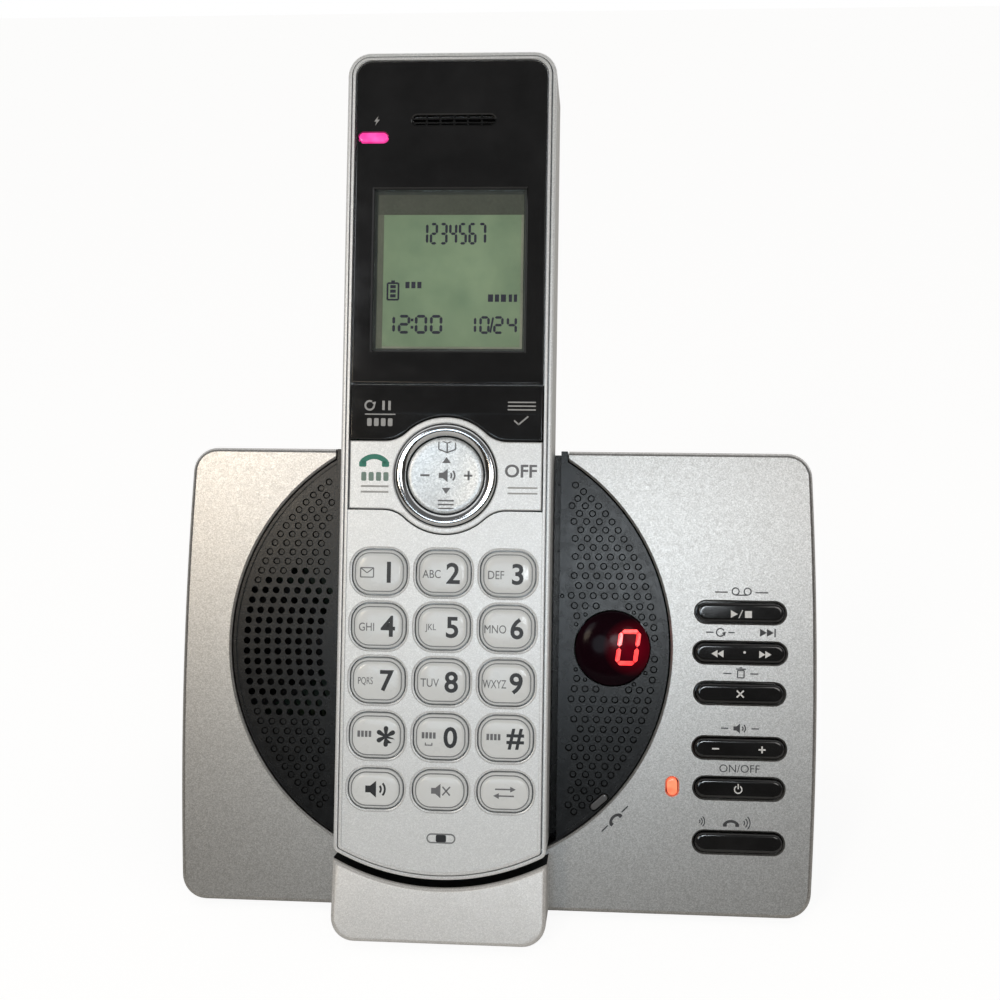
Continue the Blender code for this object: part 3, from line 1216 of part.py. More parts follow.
def handset_frame():
    """Silver front frame with its raised strip and the openings for the controls."""
    outer = handset_outline(frame_inset)
    inner = handset_outline(panel_inset)
    frame = piece("handset_frame", [[(outer, frame_back), (outer, strip_front)]], pearl_plastic())
    cut(frame, guide("panel_field", [[(inner, panel_front), (inner, strip_front + OVERRUN)]]))
    plate_room = faceplate_outline(-GAP)
    cut(frame, guide("faceplate_room", [[
        (plate_room, panel_front - FACEPLATE_THICKNESS - GAP),
        (plate_room, strip_front + OVERRUN)]]))
    openings = [[(soft_key_outline(GAP), frame_back - OVERRUN), (soft_key_outline(GAP), panel_front + GAP)]]
    cut(frame, guide("soft_key_room", openings))
    openings = [[(band_outline(GAP), frame_back - OVERRUN), (band_outline(GAP), panel_front + GAP)]]
    for name, centre, height in key_places():
        well = rounded_box(centre, KEY_WIDTH + GAP * 2, height + GAP * 2, KEY_CORNER + GAP,
                           KEY_CORNER_STEPS)
        openings.append([(well, frame_back - OVERRUN), (well, strip_front + OVERRUN)])
    for centre, length, width in (
            ((0, EARPIECE_HEIGHT), EARPIECE_SLOT_LENGTH, EARPIECE_SLOT_WIDTH),
            (CHARGE_LIGHT, CHARGE_LIGHT_LENGTH + GAP * 2, CHARGE_LIGHT_WIDTH + GAP * 2),
            ((0, MICROPHONE_HEIGHT), MICROPHONE_SLOT_LENGTH, MICROPHONE_SLOT_WIDTH)):
        slot = pill(centre, length, width, steps=CORNER_STEPS)
        openings.append([(slot, frame_back - OVERRUN), (slot, strip_front + OVERRUN)])
    lcd_room = window_outline(LCD_MARGIN + GAP)
    openings.append([(lcd_room, frame_back - OVERRUN), (lcd_room, strip_front + OVERRUN)])
    cut(frame, guide("frame_openings", openings))
    frame_bosses(frame)


def handset_faceplate():
    """Gloss black faceplate with the window's opening and the earpiece slot."""
    back = panel_front - FACEPLATE_THICKNESS
    faceplate = piece("handset_faceplate", [[
        (faceplate_outline(), back),
        (faceplate_outline(), panel_front)]], gloss_black())
    openings = [[(window_outline(GAP), back - OVERRUN), (window_outline(GAP), panel_front + OVERRUN)]]
    for centre, length, width in (
            ((0, EARPIECE_HEIGHT), EARPIECE_SLOT_LENGTH, EARPIECE_SLOT_WIDTH),
            (CHARGE_LIGHT, CHARGE_LIGHT_LENGTH + GAP * 2, CHARGE_LIGHT_WIDTH + GAP * 2)):
        slot = pill(centre, length, width, steps=CORNER_STEPS)
        openings.append([(slot, back - OVERRUN), (slot, panel_front + OVERRUN)])
    cut(faceplate, guide("faceplate_openings", openings))


def display():
    """Clear window, the module behind it and the charge light."""
    window_back = window_bottom_front - WINDOW_THICKNESS
    piece("lcd_window", [[(window_outline(), window_back), (window_outline(), window_bottom_front)]],
          material("clear_window", (0.75, 0.80, 0.75), 0.05, alpha=0.35))
    module = window_outline(LCD_MARGIN)
    piece("lcd_module", [[(module, board_front + GAP), (module, window_back - GAP)]],
          material("lcd_green", (0.42, 0.52, 0.36), 0.35))
    lit = pill(CHARGE_LIGHT, CHARGE_LIGHT_LENGTH, CHARGE_LIGHT_WIDTH)
    piece("charge_light", [[(lit, board_front + GAP), (lit, panel_front + GAP)]],
          material("pink_light", (0.90, 0.05, 0.45), 0.3, glow=(1.0, 0.03, 0.45)))


def band_stems(name, v, spread):
    """Two stems under a band that tips about its middle."""
    return guide(name, [
        disc((side * spread, v), STEM_RADIUS, key_foot, panel_front - BAND_THICKNESS + GAP)
        for side in (-1, 1)])


def handset_bands():
    """Soft-key band and talk and off band: each tips left and right."""
    low = panel_front - BAND_THICKNESS
    soft = piece("soft_key_band", [[(soft_key_outline(), low), (soft_key_outline(), panel_front)]],
                 gloss_black(), origin=(0, SOFT_KEY_TOP, low))
    join(soft, band_stems("soft_key_stems", SOFT_KEY_TOP - BAND_HALF_HEIGHT / 2, BAND_TILT_STEM))
    talk = piece("talk_off_band", [[(band_outline(), low), (band_outline(), panel_front)]],
                 pearl_plastic(), origin=(0, BAND_CENTRE, low))
    hole = circle((0, BAND_CENTRE), RING_HOLE, RING_SIDES)
    cut(talk, guide("ring_hole", [[(hole, low - OVERRUN), (hole, panel_front + OVERRUN)]]))
    join(talk, band_stems("talk_stems", BAND_CENTRE, BAND_TILT_STEM + STEM_RADIUS * 2))


def navigation_control():
    """Chrome ring, and the round pad inside that tips up and down."""
    centre = (0, BAND_CENTRE)
    width = RING_RADIUS - RING_INNER

    def ring(radius):
        return circle(centre, radius, RING_SIDES)

    rings = [(ring(RING_RADIUS), sheet_front + GAP)]
    for across_share, rise_share in RING_CREST_SHARES:
        rings.append((ring(RING_INNER + width * across_share), panel_front + RING_STAND * rise_share))
    rings.append((ring(RING_INNER - GAP), panel_front))
    chrome_ring = piece("nav_ring", [rings], chrome())
    bore = ring(RING_INNER)
    cut(chrome_ring, guide("nav_bore", [[(bore, sheet_front - OVERRUN), (bore, panel_front + OVERRUN)]]))
    pad_back = panel_front - PAD_THICKNESS
    pad = piece("nav_pad", [[
        (ring(PAD_RADIUS), pad_back),
        (ring(PAD_RADIUS), panel_front - PAD_EDGE),
        (ring(PAD_RADIUS - PAD_EDGE), panel_front)]], pearl_plastic(),
        origin=(0, BAND_CENTRE, pad_back))
    join(pad, guide("nav_stems", [
        disc((0, BAND_CENTRE + side * PAD_STEM), STEM_RADIUS, key_foot, pad_back + GAP)
        for side in (-1, 1)]))


def keypad():
    """Fifteen keys, each with a flange behind the frame that holds it in."""
    for name, centre, height in key_places():
        flange_top = frame_back - GAP
        flange_low = flange_top - KEY_FLANGE_THICKNESS

        def outline(spread, centre=centre, height=height):
            return rounded_box(centre, KEY_WIDTH + spread * 2, height + spread * 2,
                               KEY_CORNER + spread, KEY_CORNER_STEPS)

        piece(name, [[
            (outline(-KEY_CORNER / 2), key_foot),
            (outline(-KEY_CORNER / 2), flange_low),
            (outline(KEY_FLANGE), flange_low),
            (outline(KEY_FLANGE), flange_top),
            (outline(0), flange_top),
            (outline(0), panel_front + KEY_STAND - KEY_CROWN),
            (outline(-KEY_CROWN), panel_front + KEY_STAND)]],
            key_plastic(), origin=(*centre, flange_top))


def keypad_membrane():
    """Rubber sheet with a dome under every key and every stem."""
    half = HANDSET_HALF_WIDTH - frame_inset - HANDSET_WALL - GAP
    low = KEY_ROWS[-1] - KEY_HEIGHT / 2
    sheet = piece("keypad_membrane", [[
        (box_outline((-half, low), (half, FACEPLATE_BOTTOM)), board_front + GAP),
        (box_outline((-half, low), (half, FACEPLATE_BOTTOM)), sheet_front)]], membrane_rubber())
    places = [centre for name, centre, height in key_places()]
    places += [(side * BAND_TILT_STEM, SOFT_KEY_TOP - BAND_HALF_HEIGHT / 2) for side in (-1, 1)]
    places += [(side * (BAND_TILT_STEM + STEM_RADIUS * 2), BAND_CENTRE) for side in (-1, 1)]
    places += [(0, BAND_CENTRE + side * PAD_STEM) for side in (-1, 1)]
    join(sheet, guide("keypad_domes", [
        disc(place, KEYPAD_DOME_RADIUS, sheet_front - KEYPAD_SHEET / 2, key_dome_top, HOLE_SIDES)
        for place in places]))


up_frame = new_empty(
    "up_frame",
    ((0, -cos_lean, sin_lean), (1, 0, 0), (0, sin_lean, cos_lean)),
    (-PLATE_CENTRE, centre_shift, face_height))

cover_inner = handset_back + BATTERY_COVER_THICKNESS
battery_low = cover_inner + GAP
battery_middle = battery_low + BATTERY_RADIUS
battery_high = battery_middle + BATTERY_RADIUS
screw_seat = handset_back + HANDSET_SCREW_WELL


def battery_cover_outline(spread=0.0):
    middle = BATTERY_BOTTOM + BATTERY_LENGTH / 2
    return rounded_box(
        (0, middle), BATTERY_COVER_HALF_WIDTH * 2 + spread * 2,
        BATTERY_LENGTH + BATTERY_COVER_MARGIN * 2 + spread * 2, BATTERY_COVER_CORNER + spread)


def battery_outline(spread=0.0):
    return box_outline(
        (-BATTERY_HALF_WIDTH - spread, BATTERY_BOTTOM - spread),
        (BATTERY_HALF_WIDTH + spread, BATTERY_BOTTOM + BATTERY_LENGTH + spread))


def charge_strip_outline(side, spread=0.0):
    middle = side * CONTACT_SPREAD
    low = -math.sqrt(handset_arc ** 2 - CONTACT_SPREAD ** 2) + GAP
    half = STRIP_PLATE_WIDTH / 2 + spread
    bottom = low - (OVERRUN if spread else 0)
    return box_outline((middle - half, bottom), (middle + half, low + STRIP_PLATE_HEIGHT + spread))


def handset_shell():
    """Rear shell: tub with a rim, screw posts and a battery compartment."""
    rings = [(handset_outline(inset), depth) for inset, depth in handset_edge_rings()]
    rings += [(handset_outline(), rim_front - RIM_ROUND), (handset_outline(RIM_ROUND), rim_front)]
    shell = piece("handset_shell", [rings], silver_paint())
    room = handset_outline(HANDSET_WALL)
    cut(shell, guide("shell_room", [[(room, shell_floor), (room, rim_front + OVERRUN)]]))
    rebate = handset_outline(RIM_WIDTH)
    cut(shell, guide("shell_rebate", [[(rebate, frame_back - GAP), (rebate, rim_front + OVERRUN)]]))
    ledge = battery_cover_outline(LEDGE_WIDTH)
    ledge_top = cover_inner + GAP + LEDGE_THICKNESS
    join(shell, guide("cover_ledge", [[(ledge, shell_floor - HANDSET_WALL / 2), (ledge, ledge_top)]]))
    walls = battery_outline(GAP + BATTERY_ROOF)
    join(shell, guide("battery_walls", [[
        (walls, shell_floor - HANDSET_WALL / 2),
        (walls, battery_high + GAP + BATTERY_ROOF)]]))
    posts = [disc(place, HANDSET_POST_RADIUS, shell_floor - HANDSET_WALL / 2, board_back - GAP)
             for place in HANDSET_SCREWS]
    join(shell, guide("handset_posts", posts))
    recess = battery_cover_outline(GAP)
    openings = [[(recess, handset_back - OVERRUN), (recess, cover_inner + GAP)]]
    openings += [disc(place, HANDSET_HEAD_RADIUS + GAP, handset_back - OVERRUN, screw_seat, HOLE_SIDES + 4)
                 for place in HANDSET_SCREWS]
    for side in (-1, 1):
        pocket = charge_strip_outline(side, GAP)
        openings.append([
            (pocket, CONTACT_DEPTH - STRIP_PLATE_LENGTH / 2 - GAP),
            (pocket, CONTACT_DEPTH + STRIP_PLATE_LENGTH / 2 + GAP)])
    cut(shell, guide("shell_openings", openings))
    inner = battery_outline(GAP)
    rooms = [[(inner, cover_inner), (inner, battery_high + GAP)]]
    rooms += [disc(place, HANDSET_SCREW_RADIUS + GAP, screw_seat - GAP, board_back + OVERRUN)
              for place in HANDSET_SCREWS]
    cut(shell, guide("battery_room", rooms))


def handset_screws():
    """Two screws through the posts and the board into the frame."""
    head_top = screw_seat - GAP
    for name, place in zip(("handset_screw_top", "handset_screw_bottom"), HANDSET_SCREWS):
        head = circle(place, HANDSET_HEAD_RADIUS, HOLE_SIDES + 4)
        shank = circle(place, HANDSET_SCREW_RADIUS, HOLE_SIDES + 4)
        piece(name, [[
            (head, head_top - HANDSET_HEAD_HEIGHT),
            (head, head_top),
            (shank, head_top),
            (shank, frame_back - GAP)]], steel())


def frame_bosses(frame):
    """Bosses behind the front frame that take the screws."""
    join(frame, guide("frame_bosses", [
        disc(place, FRAME_BOSS_RADIUS, board_front + GAP, frame_back + GAP) for place in HANDSET_SCREWS]))
    cut(frame, guide("frame_pilots", [
        disc(place, HANDSET_SCREW_RADIUS + GAP, board_front - OVERRUN, frame_back)
        for place in HANDSET_SCREWS]))


def handset_board():
    """Long circuit board behind the keys, with the microphone soldered to it."""
    outline = handset_outline(HANDSET_BOARD_MARGIN)
    board = piece("handset_board", [[(outline, board_back), (outline, board_front)]], circuit_board())
    cut(board, guide("board_holes", [
        disc(place, HANDSET_SCREW_RADIUS + GAP, board_back - OVERRUN, board_front + OVERRUN)
        for place in HANDSET_SCREWS]))
    join(board, guide("microphone", [
        disc((0, MICROPHONE_HEIGHT), MICROPHONE_RADIUS, board_back + GAP, frame_back - GAP)]))


def earpiece():
    """Flat round receiver behind the slot at the top."""
    top = frame_back - GAP
    piece("earpiece", [disc((0, EARPIECE_HEIGHT), EARPIECE_RADIUS, top - EARPIECE_DEPTH, top,
                            ROUND_SIDES * 2)], steel())


def battery():
    """Battery pack behind its cover, and the cover itself."""
    cells = pill((battery_middle, 0), BATTERY_HALF_WIDTH * 2, BATTERY_RADIUS * 2, turn=90)
    piece("battery_pack", [[
        (cells, BATTERY_BOTTOM),
        (cells, BATTERY_BOTTOM + BATTERY_LENGTH)]], battery_wrap(), parent=up_frame)
    piece("battery_cover", [[
        (battery_cover_outline(-COVER_EDGE), handset_back),
        (battery_cover_outline(), handset_back + COVER_EDGE),
        (battery_cover_outline(), cover_inner)]], silver_paint())


def charge_strips():
    """Two contact strips in the handset's foot, on one carrier bar."""
    stacks = []
    for side in (-1, 1):
        outline = charge_strip_outline(side)
        stacks.append([
            (outline, CONTACT_DEPTH - STRIP_PLATE_LENGTH / 2),
            (outline, CONTACT_DEPTH + STRIP_PLATE_LENGTH / 2)])
    strips = piece("charge_strips", stacks[:1], nickel())
    join(strips, guide("right_strip", stacks[1:]))
    half = CONTACT_SPREAD + STRIP_PLATE_WIDTH / 2
    low = -math.sqrt(handset_arc ** 2 - CONTACT_SPREAD ** 2) + GAP
    bar = box_outline((-half, low + STRIP_BAR_RISE), (half, low + STRIP_PLATE_HEIGHT))
    join(strips, guide("strip_bar", [[
        (bar, CONTACT_DEPTH - STRIP_PLATE_LENGTH / 4),
        (bar, CONTACT_DEPTH + STRIP_PLATE_LENGTH / 4)]]))


def build_base():
    front_cover()
    cradle_panel()
    charge_contacts()
    rear_housing()
    rubber_feet()
    body_screws()
    line_jack()
    power_jack()
    main_board()
    button_board()
    button_membrane()
    counter_window()
    base_lights()
    speaker()
    for name, v in PUSH_BUTTONS:
        push_button(name, v)
    for name, v in ROCKERS:
        rocker_button(name, v)


def build_handset():
    handset_shell()
    handset_frame()
    handset_faceplate()
    display()
    handset_bands()
    navigation_control()
    keypad()
    keypad_membrane()
    handset_board()
    earpiece()
    battery()
    charge_strips()
    handset_screws()


build_base()
build_handset()
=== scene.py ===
import math
import bmesh
import bpy
from mathutils import Matrix, Vector


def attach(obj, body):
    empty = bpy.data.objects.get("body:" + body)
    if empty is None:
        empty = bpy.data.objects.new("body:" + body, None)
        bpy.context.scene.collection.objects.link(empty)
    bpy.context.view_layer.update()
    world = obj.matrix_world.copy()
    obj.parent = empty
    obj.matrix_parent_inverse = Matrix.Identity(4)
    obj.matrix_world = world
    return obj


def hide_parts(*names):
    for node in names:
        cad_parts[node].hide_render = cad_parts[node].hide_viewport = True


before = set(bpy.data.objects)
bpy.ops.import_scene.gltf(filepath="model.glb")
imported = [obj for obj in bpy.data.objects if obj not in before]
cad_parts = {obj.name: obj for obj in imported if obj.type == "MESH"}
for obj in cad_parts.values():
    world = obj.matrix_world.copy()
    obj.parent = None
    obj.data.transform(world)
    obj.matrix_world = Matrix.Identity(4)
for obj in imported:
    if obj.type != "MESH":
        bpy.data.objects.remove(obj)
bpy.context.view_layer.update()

mm = 0.001  # every size below is in millimetres
lean = math.radians(22)
fit = 0.3  # gap between neighbours

# Pieces are drawn lying flat: u to the right, v up the face, w out of it,
# zero at the insert's centre on the plate's front. placeOnFace stands them up.
stance = {"right": -10.4, "back": -12.4976, "up": 54.8131}
faceFrame = Matrix.Translation(Vector((stance["right"], stance["back"], stance["up"])) * mm) @ Matrix((
    (1, 0, 0), (0, math.sin(lean), -math.cos(lean)), (0, math.cos(lean), math.sin(lean)))).to_4x4()


def choose(*pieces):
    bpy.ops.object.select_all(action="DESELECT")
    for piece in pieces:
        piece.select_set(True)
    bpy.context.view_layer.objects.active = pieces[0]


def applyAll(piece):
    choose(piece)
    for modifier in list(piece.modifiers):
        bpy.ops.object.modifier_apply(modifier=modifier.name)


def arcPoints(centre, radius, start, end, steps):
    return [(centre[0] + radius * math.cos(math.radians(start + (end - start) * k / steps)),
             centre[1] + radius * math.sin(math.radians(start + (end - start) * k / steps)))
            for k in range(steps + 1)]


def ringPoints(centre, radius, steps):
    return arcPoints(centre, radius, 0, 360 - 360 / steps, steps - 1)


def boxPoints(left, low, right, high):
    return [(left, low), (right, low), (right, high), (left, high)]


def roundBox(centre, width, height, corner, steps=8):
    points = []
    for sideU, sideV, start in ((1, -1, -90), (1, 1, 0), (-1, 1, 90), (-1, -1, 180)):
        middle = (centre[0] + sideU * (width / 2 - corner), centre[1] + sideV * (height / 2 - corner))
        points += arcPoints(middle, corner, start, start + 90, steps)
    return points


def pillPoints(centre, length, width, turn=0, steps=14):
    reach = (length - width) / 2
    ends = arcPoints((reach, 0), width / 2, -90, 90, steps) + arcPoints((-reach, 0), width / 2, 90, 270, steps)
    return turnPoints(ends, turn, centre)


def turnPoints(points, turn, centre=(0, 0)):
    c, s = math.cos(math.radians(turn)), math.sin(math.radians(turn))
    return [(centre[0] + x * c - y * s, centre[1] + x * s + y * c) for x, y in points]


def slab(name, outline, low, high, topRound=0, steps=3, bottomRound=0):
    # a flat outline pulled up to a solid, with its rims rounded
    bpy.ops.object.select_all(action="DESELECT")
    bpy.ops.mesh.primitive_circle_add(vertices=len(outline), radius=mm, fill_type="NGON")
    piece = bpy.context.object
    piece.name = name
    for vert, (u, v) in zip(piece.data.vertices, outline):
        vert.co = (u * mm, v * mm, low * mm)
    bpy.ops.object.mode_set(mode="EDIT")
    bpy.ops.mesh.select_mode(type="FACE")
    bpy.ops.mesh.select_all(action="SELECT")
    bpy.ops.mesh.extrude_region_move(TRANSFORM_OT_translate={"value": (0, 0, (high - low) * mm)})
    if topRound:
        bpy.ops.mesh.bevel(offset=topRound * mm, segments=steps, affect="EDGES")
    if bottomRound:
        pickFlat(piece, low)
        bpy.ops.mesh.bevel(offset=bottomRound * mm, segments=steps, affect="EDGES")
    bpy.ops.mesh.select_all(action="SELECT")
    bpy.ops.mesh.normals_make_consistent(inside=False)
    bpy.ops.object.mode_set(mode="OBJECT")
    return piece


def pickFlat(piece, height):
    # in edit mode: selects the faces that lie level at this height
    mesh = bmesh.from_edit_mesh(piece.data)
    for face in mesh.faces:
        face.select_set(all(abs(vert.co.z - height * mm) < 1e-6 for vert in face.verts))
    mesh.select_flush(True)
    bmesh.update_edit_mesh(piece.data)


def growTop(rise, shrink, centre):
    # in edit mode: pulls the selected top face up and scales it about a point
    bpy.ops.mesh.extrude_region_move(TRANSFORM_OT_translate={"value": (0, 0, rise * mm)})
    bpy.ops.transform.resize(value=(shrink, shrink, 1), center_override=(centre[0] * mm, centre[1] * mm, 0))


def carve(piece, *tools):
    for tool in tools:
        useTool(piece, tool, "DIFFERENCE")


def weld(piece, *tools):
    for tool in tools:
        useTool(piece, tool, "UNION")


def useTool(piece, tool, way):
    modifier = piece.modifiers.new("shape", "BOOLEAN")
    modifier.object = tool
    modifier.operation = way
    modifier.solver = "EXACT"
    applyAll(piece)
    bpy.data.objects.remove(tool)


def group(name, pieces):
    choose(*pieces)
    if len(pieces) > 1:
        bpy.ops.object.join()
    pieces[0].name = name
    return pieces[0]


def smooth(piece, angle=35, level=None):
    # faces that lie at the level given are shaded flat, free of the rounded edges beside them
    choose(piece)
    bpy.ops.object.mode_set(mode="EDIT")
    bpy.ops.mesh.select_all(action="SELECT")
    bpy.ops.mesh.remove_doubles(threshold=1e-6)
    bpy.ops.mesh.select_mode(type="FACE")
    bpy.ops.mesh.select_all(action="DESELECT")
    bpy.ops.mesh.select_face_by_sides(number=4, type="GREATER")
    bpy.ops.mesh.quads_convert_to_tris(quad_method="BEAUTY", ngon_method="BEAUTY")
    bpy.ops.object.mode_set(mode="OBJECT")
    bpy.ops.object.shade_smooth_by_angle(angle=math.radians(angle))
    if level is not None:
        for face in piece.data.polygons:
            if all(abs(piece.data.vertices[k].co.z - level * mm) < 0.008 * mm for k in face.vertices):
                face.use_smooth = False
    modifier = piece.modifiers.new("flat", "WEIGHTED_NORMAL")
    modifier.keep_sharp = True
    applyAll(piece)


def roundFlats(piece, width, steps, *ways):
    # rounds the edges of the flat sides that face these ways
    choose(piece)
    bpy.ops.object.mode_set(mode="EDIT")
    bpy.ops.mesh.select_mode(type="EDGE")
    mesh = bmesh.from_edit_mesh(piece.data)
    for edge in mesh.edges:
        sharp = len(edge.link_faces) == 2 and edge.calc_face_angle() > 0.6
        edge.select_set(sharp and any(face.normal.dot(way) > 0.999 for face in edge.link_faces for way in ways))
    bmesh.update_edit_mesh(piece.data)
    bpy.ops.mesh.bevel(offset=width * mm, segments=steps, affect="EDGES", clamp_overlap=True)
    bpy.ops.object.mode_set(mode="OBJECT")


def tidyMesh(piece, angle=1):
    choose(piece)
    bpy.ops.object.mode_set(mode="EDIT")
    bpy.ops.mesh.select_all(action="SELECT")
    bpy.ops.mesh.remove_doubles(threshold=2e-6)
    bpy.ops.mesh.dissolve_limited(angle_limit=math.radians(angle))
    bpy.ops.object.mode_set(mode="OBJECT")


def paint(piece, material):
    piece.data.materials.clear()
    piece.data.materials.append(material)


def placeOnFace(piece, body, slot, *nodes):
    piece.matrix_world = faceFrame @ piece.matrix_world
    choose(piece)
    bpy.ops.object.transform_apply(location=True, rotation=True, scale=True)
    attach(piece, body)
    if nodes:
        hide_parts(*nodes)


def paintAndPlace(piece, material, body, slot, *nodes):
    paint(piece, material)
    placeOnFace(piece, body, slot, *nodes)


def finishPiece(piece, material, body, slot, *nodes, angle=35, level=None):
    smooth(piece, angle, level)
    paintAndPlace(piece, material, body, slot, *nodes)


def fillInputs(tree, node, inputs):
    # each input gets a value, or a link from another node's output
    for name, value in inputs.items():
        if isinstance(value, bpy.types.NodeSocket):
            tree.links.new(value, node.inputs[name])
        else:
            node.inputs[name].default_value = value


def addNode(tree, kind, inputs, out=0, **settings):
    made = tree.nodes.new("ShaderNode" + kind)
    for setting, value in settings.items():
        setattr(made, setting, value)
    fillInputs(tree, made, inputs)
    return made.outputs[out]


def newMaterial(name):
    made = bpy.data.materials.new(name)
    made.use_nodes = True
    return made, made.node_tree, made.node_tree.nodes["Principled BSDF"]


def newFinish(name, roughness, metallic=0.0, coat=0.0, specular=0.5):
    made, tree, shader = newMaterial(name)
    fillInputs(tree, shader, {"Roughness": roughness, "Metallic": metallic, "Coat Weight": coat,
                              "Coat Roughness": 0.08, "Specular IOR Level": specular})
    return made, tree, shader


def noiseOn(tree, scale, detail=2.0, rough=0.5, stretch=(1, 1, 1)):
    where = addNode(tree, "TexCoord", {}, "Object")
    turned = addNode(tree, "Mapping", {"Vector": where, "Rotation": (-(math.pi / 2 - lean), 0, 0), "Scale": stretch})
    return addNode(tree, "TexNoise", {"Vector": turned, "Scale": scale, "Detail": detail, "Roughness": rough}, "Fac")


def cellsOn(tree, scale):
    cells = addNode(tree, "TexVoronoi", {"Vector": addNode(tree, "TexCoord", {}, "Object"), "Scale": scale}, "Color")
    return addNode(tree, "SeparateColor", {"Color": cells}, "Red")


def ramp(tree, factor, *stops):
    colours = tree.nodes.new("ShaderNodeValToRGB")
    band = colours.color_ramp
    while len(band.elements) < len(stops):
        band.elements.new(0.5)
    for element, (place, colour) in zip(band.elements, stops):
        element.position = place
        element.color = (*colour, 1)
    tree.links.new(factor, colours.inputs["Fac"])
    return colours.outputs["Color"]


def spread(tree, factor, low, high, fromLow=0.3, fromHigh=0.7):
    return addNode(tree, "MapRange", {"Value": factor, "From Min": fromLow, "From Max": fromHigh,
                                      "To Min": low, "To Max": high}, "Result")


def addBump(tree, shader, factor, depth, strength=1.0, after=None):
    inputs = {"Strength": strength, "Distance": depth * mm, "Height": factor}
    if after:
        inputs["Normal"] = after
    normal = addNode(tree, "Bump", inputs, "Normal")
    tree.links.new(normal, shader.inputs["Normal"])
    return normal


def metallicPaint(name, dark, light, roughness, metallic, sparkle=5200):
    made, tree, shader = newFinish(name, roughness, metallic)
    bright = [c * 1.12 for c in light]
    fillInputs(tree, shader, {
        "Base Color": ramp(tree, cellsOn(tree, sparkle), (0.0, dark), (0.75, light), (1.0, bright)),
        "Roughness": spread(tree, noiseOn(tree, 900, 3), roughness - 0.02, roughness + 0.02)})
    orange = addBump(tree, shader, noiseOn(tree, 2600, 2), 0.006)
    addBump(tree, shader, noiseOn(tree, 60, 3), 0.004, 0.5, orange)
    return made


def mouldedPlastic(name, dark, light, roughness, grain=2400, depth=0.015, specular=0.5):
    made, tree, shader = newFinish(name, roughness, specular=specular)
    fillInputs(tree, shader, {
        "Base Color": ramp(tree, noiseOn(tree, 220, 4), (0.3, dark), (0.7, light)),
        "Roughness": spread(tree, noiseOn(tree, 500, 3), roughness - 0.03, roughness + 0.03)})
    addBump(tree, shader, noiseOn(tree, grain, 2), depth)
    return made


def glossPlastic(name, dark, light, roughness, coat=0.3, specular=0.5):
    # polished plastic with faint wipe marks in its gloss
    made, tree, shader = newFinish(name, roughness, coat=coat, specular=specular)
    wiped = noiseOn(tree, 160, 4, 0.6, (1, 3, 1))
    fillInputs(tree, shader, {
        "Base Color": ramp(tree, noiseOn(tree, 90, 5, 0.6), (0.35, dark), (0.75, light)),
        "Roughness": spread(tree, wiped, roughness * 0.7, roughness * 1.8)})
    addBump(tree, shader, noiseOn(tree, 45, 2), 0.01, 0.3)
    return made


def plating(name, colour, roughness):
    made, tree, shader = newFinish(name, roughness, 1.0)
    fillInputs(tree, shader, {
        "Base Color": ramp(tree, noiseOn(tree, 400, 3), (0.3, [c * 0.93 for c in colour]), (0.7, colour)),
        "Roughness": spread(tree, noiseOn(tree, 700, 4, 0.6), roughness * 0.6, roughness * 1.6)})
    addBump(tree, shader, noiseOn(tree, 120, 2), 0.004)
    return made


def ink(name, colour, roughness=0.45):
    made, tree, shader = newFinish(name, roughness)
    worn = [min(1, c * 1.15 + 0.01) for c in colour]
    fillInputs(tree, shader, {"Base Color": ramp(tree, noiseOn(tree, 1800, 3), (0.35, colour), (0.8, worn))})
    addBump(tree, shader, noiseOn(tree, 3000, 1), 0.004)
    return made


def lit(name, colour, core, strength):
    # a light guide that glows from inside, a little unevenly
    made, tree, shader = newFinish(name, 0.2, coat=0.4)
    uneven = ramp(tree, noiseOn(tree, 350, 2), (0.2, colour), (0.8, core))
    fillInputs(tree, shader, {"Base Color": uneven, "Emission Color": uneven, "Emission Strength": strength})
    return made


def glowAround(finish, centre, inner, outer, colour, strength):
    # a glow that fades out around a place on the face
    tree = finish.node_tree
    middle = faceFrame @ Vector((centre[0] * mm, centre[1] * mm, 0))
    away = addNode(tree, "VectorMath", {0: addNode(tree, "TexCoord", {}, "Object"), 1: middle}, "Value",
                   operation="DISTANCE")
    fillInputs(tree, tree.nodes["Principled BSDF"], {
        "Emission Strength": spread(tree, away, strength, 0.0, inner * mm, outer * mm),
        "Emission Color": (*colour, 1)})


silverPaint = metallicPaint("silverPaint", (0.42, 0.41, 0.395), (0.58, 0.57, 0.555), 0.35, 0.90)
pearlPaint = metallicPaint("pearlPaint", (0.78, 0.795, 0.805), (0.88, 0.895, 0.905), 0.37, 0.30)
# painted light: a lighter copy of the silver paint for the lip, which is moulded in one with the plate
litLipPaint = metallicPaint("litLipPaint", (0.66, 0.65, 0.64), (0.77, 0.76, 0.75), 0.37, 0.30)
padSilver = metallicPaint("padSilver", (0.56, 0.59, 0.61), (0.76, 0.79, 0.81), 0.33, 0.45, 3200)
charcoal = mouldedPlastic("charcoal", (0.002, 0.002, 0.0022), (0.004, 0.004, 0.0043), 0.26, specular=0.4)
housingPlastic = mouldedPlastic("housingPlastic", (0.016, 0.016, 0.017), (0.026, 0.026, 0.027), 0.55, 1500, 0.03)
# painted shade: a near-black finish laid on the dimples' slanted walls and on the lip's inner wall, where shade falls
paintedShadeBlack = mouldedPlastic("paintedShadeBlack", (0.0008, 0.0008, 0.0009), (0.0016, 0.0016, 0.0017), 0.6, specular=0.12)
pianoBlack = glossPlastic("pianoBlack", (0.008, 0.008, 0.0085), (0.018, 0.018, 0.019), 0.06)
keyPlastic = glossPlastic("keyPlastic", (0.85, 0.875, 0.89), (0.91, 0.935, 0.95), 0.26, 0.4)
chromePlate = plating("chromePlate", (0.78, 0.79, 0.80), 0.10)
steelPlate = plating("steelPlate", (0.55, 0.55, 0.56), 0.30)
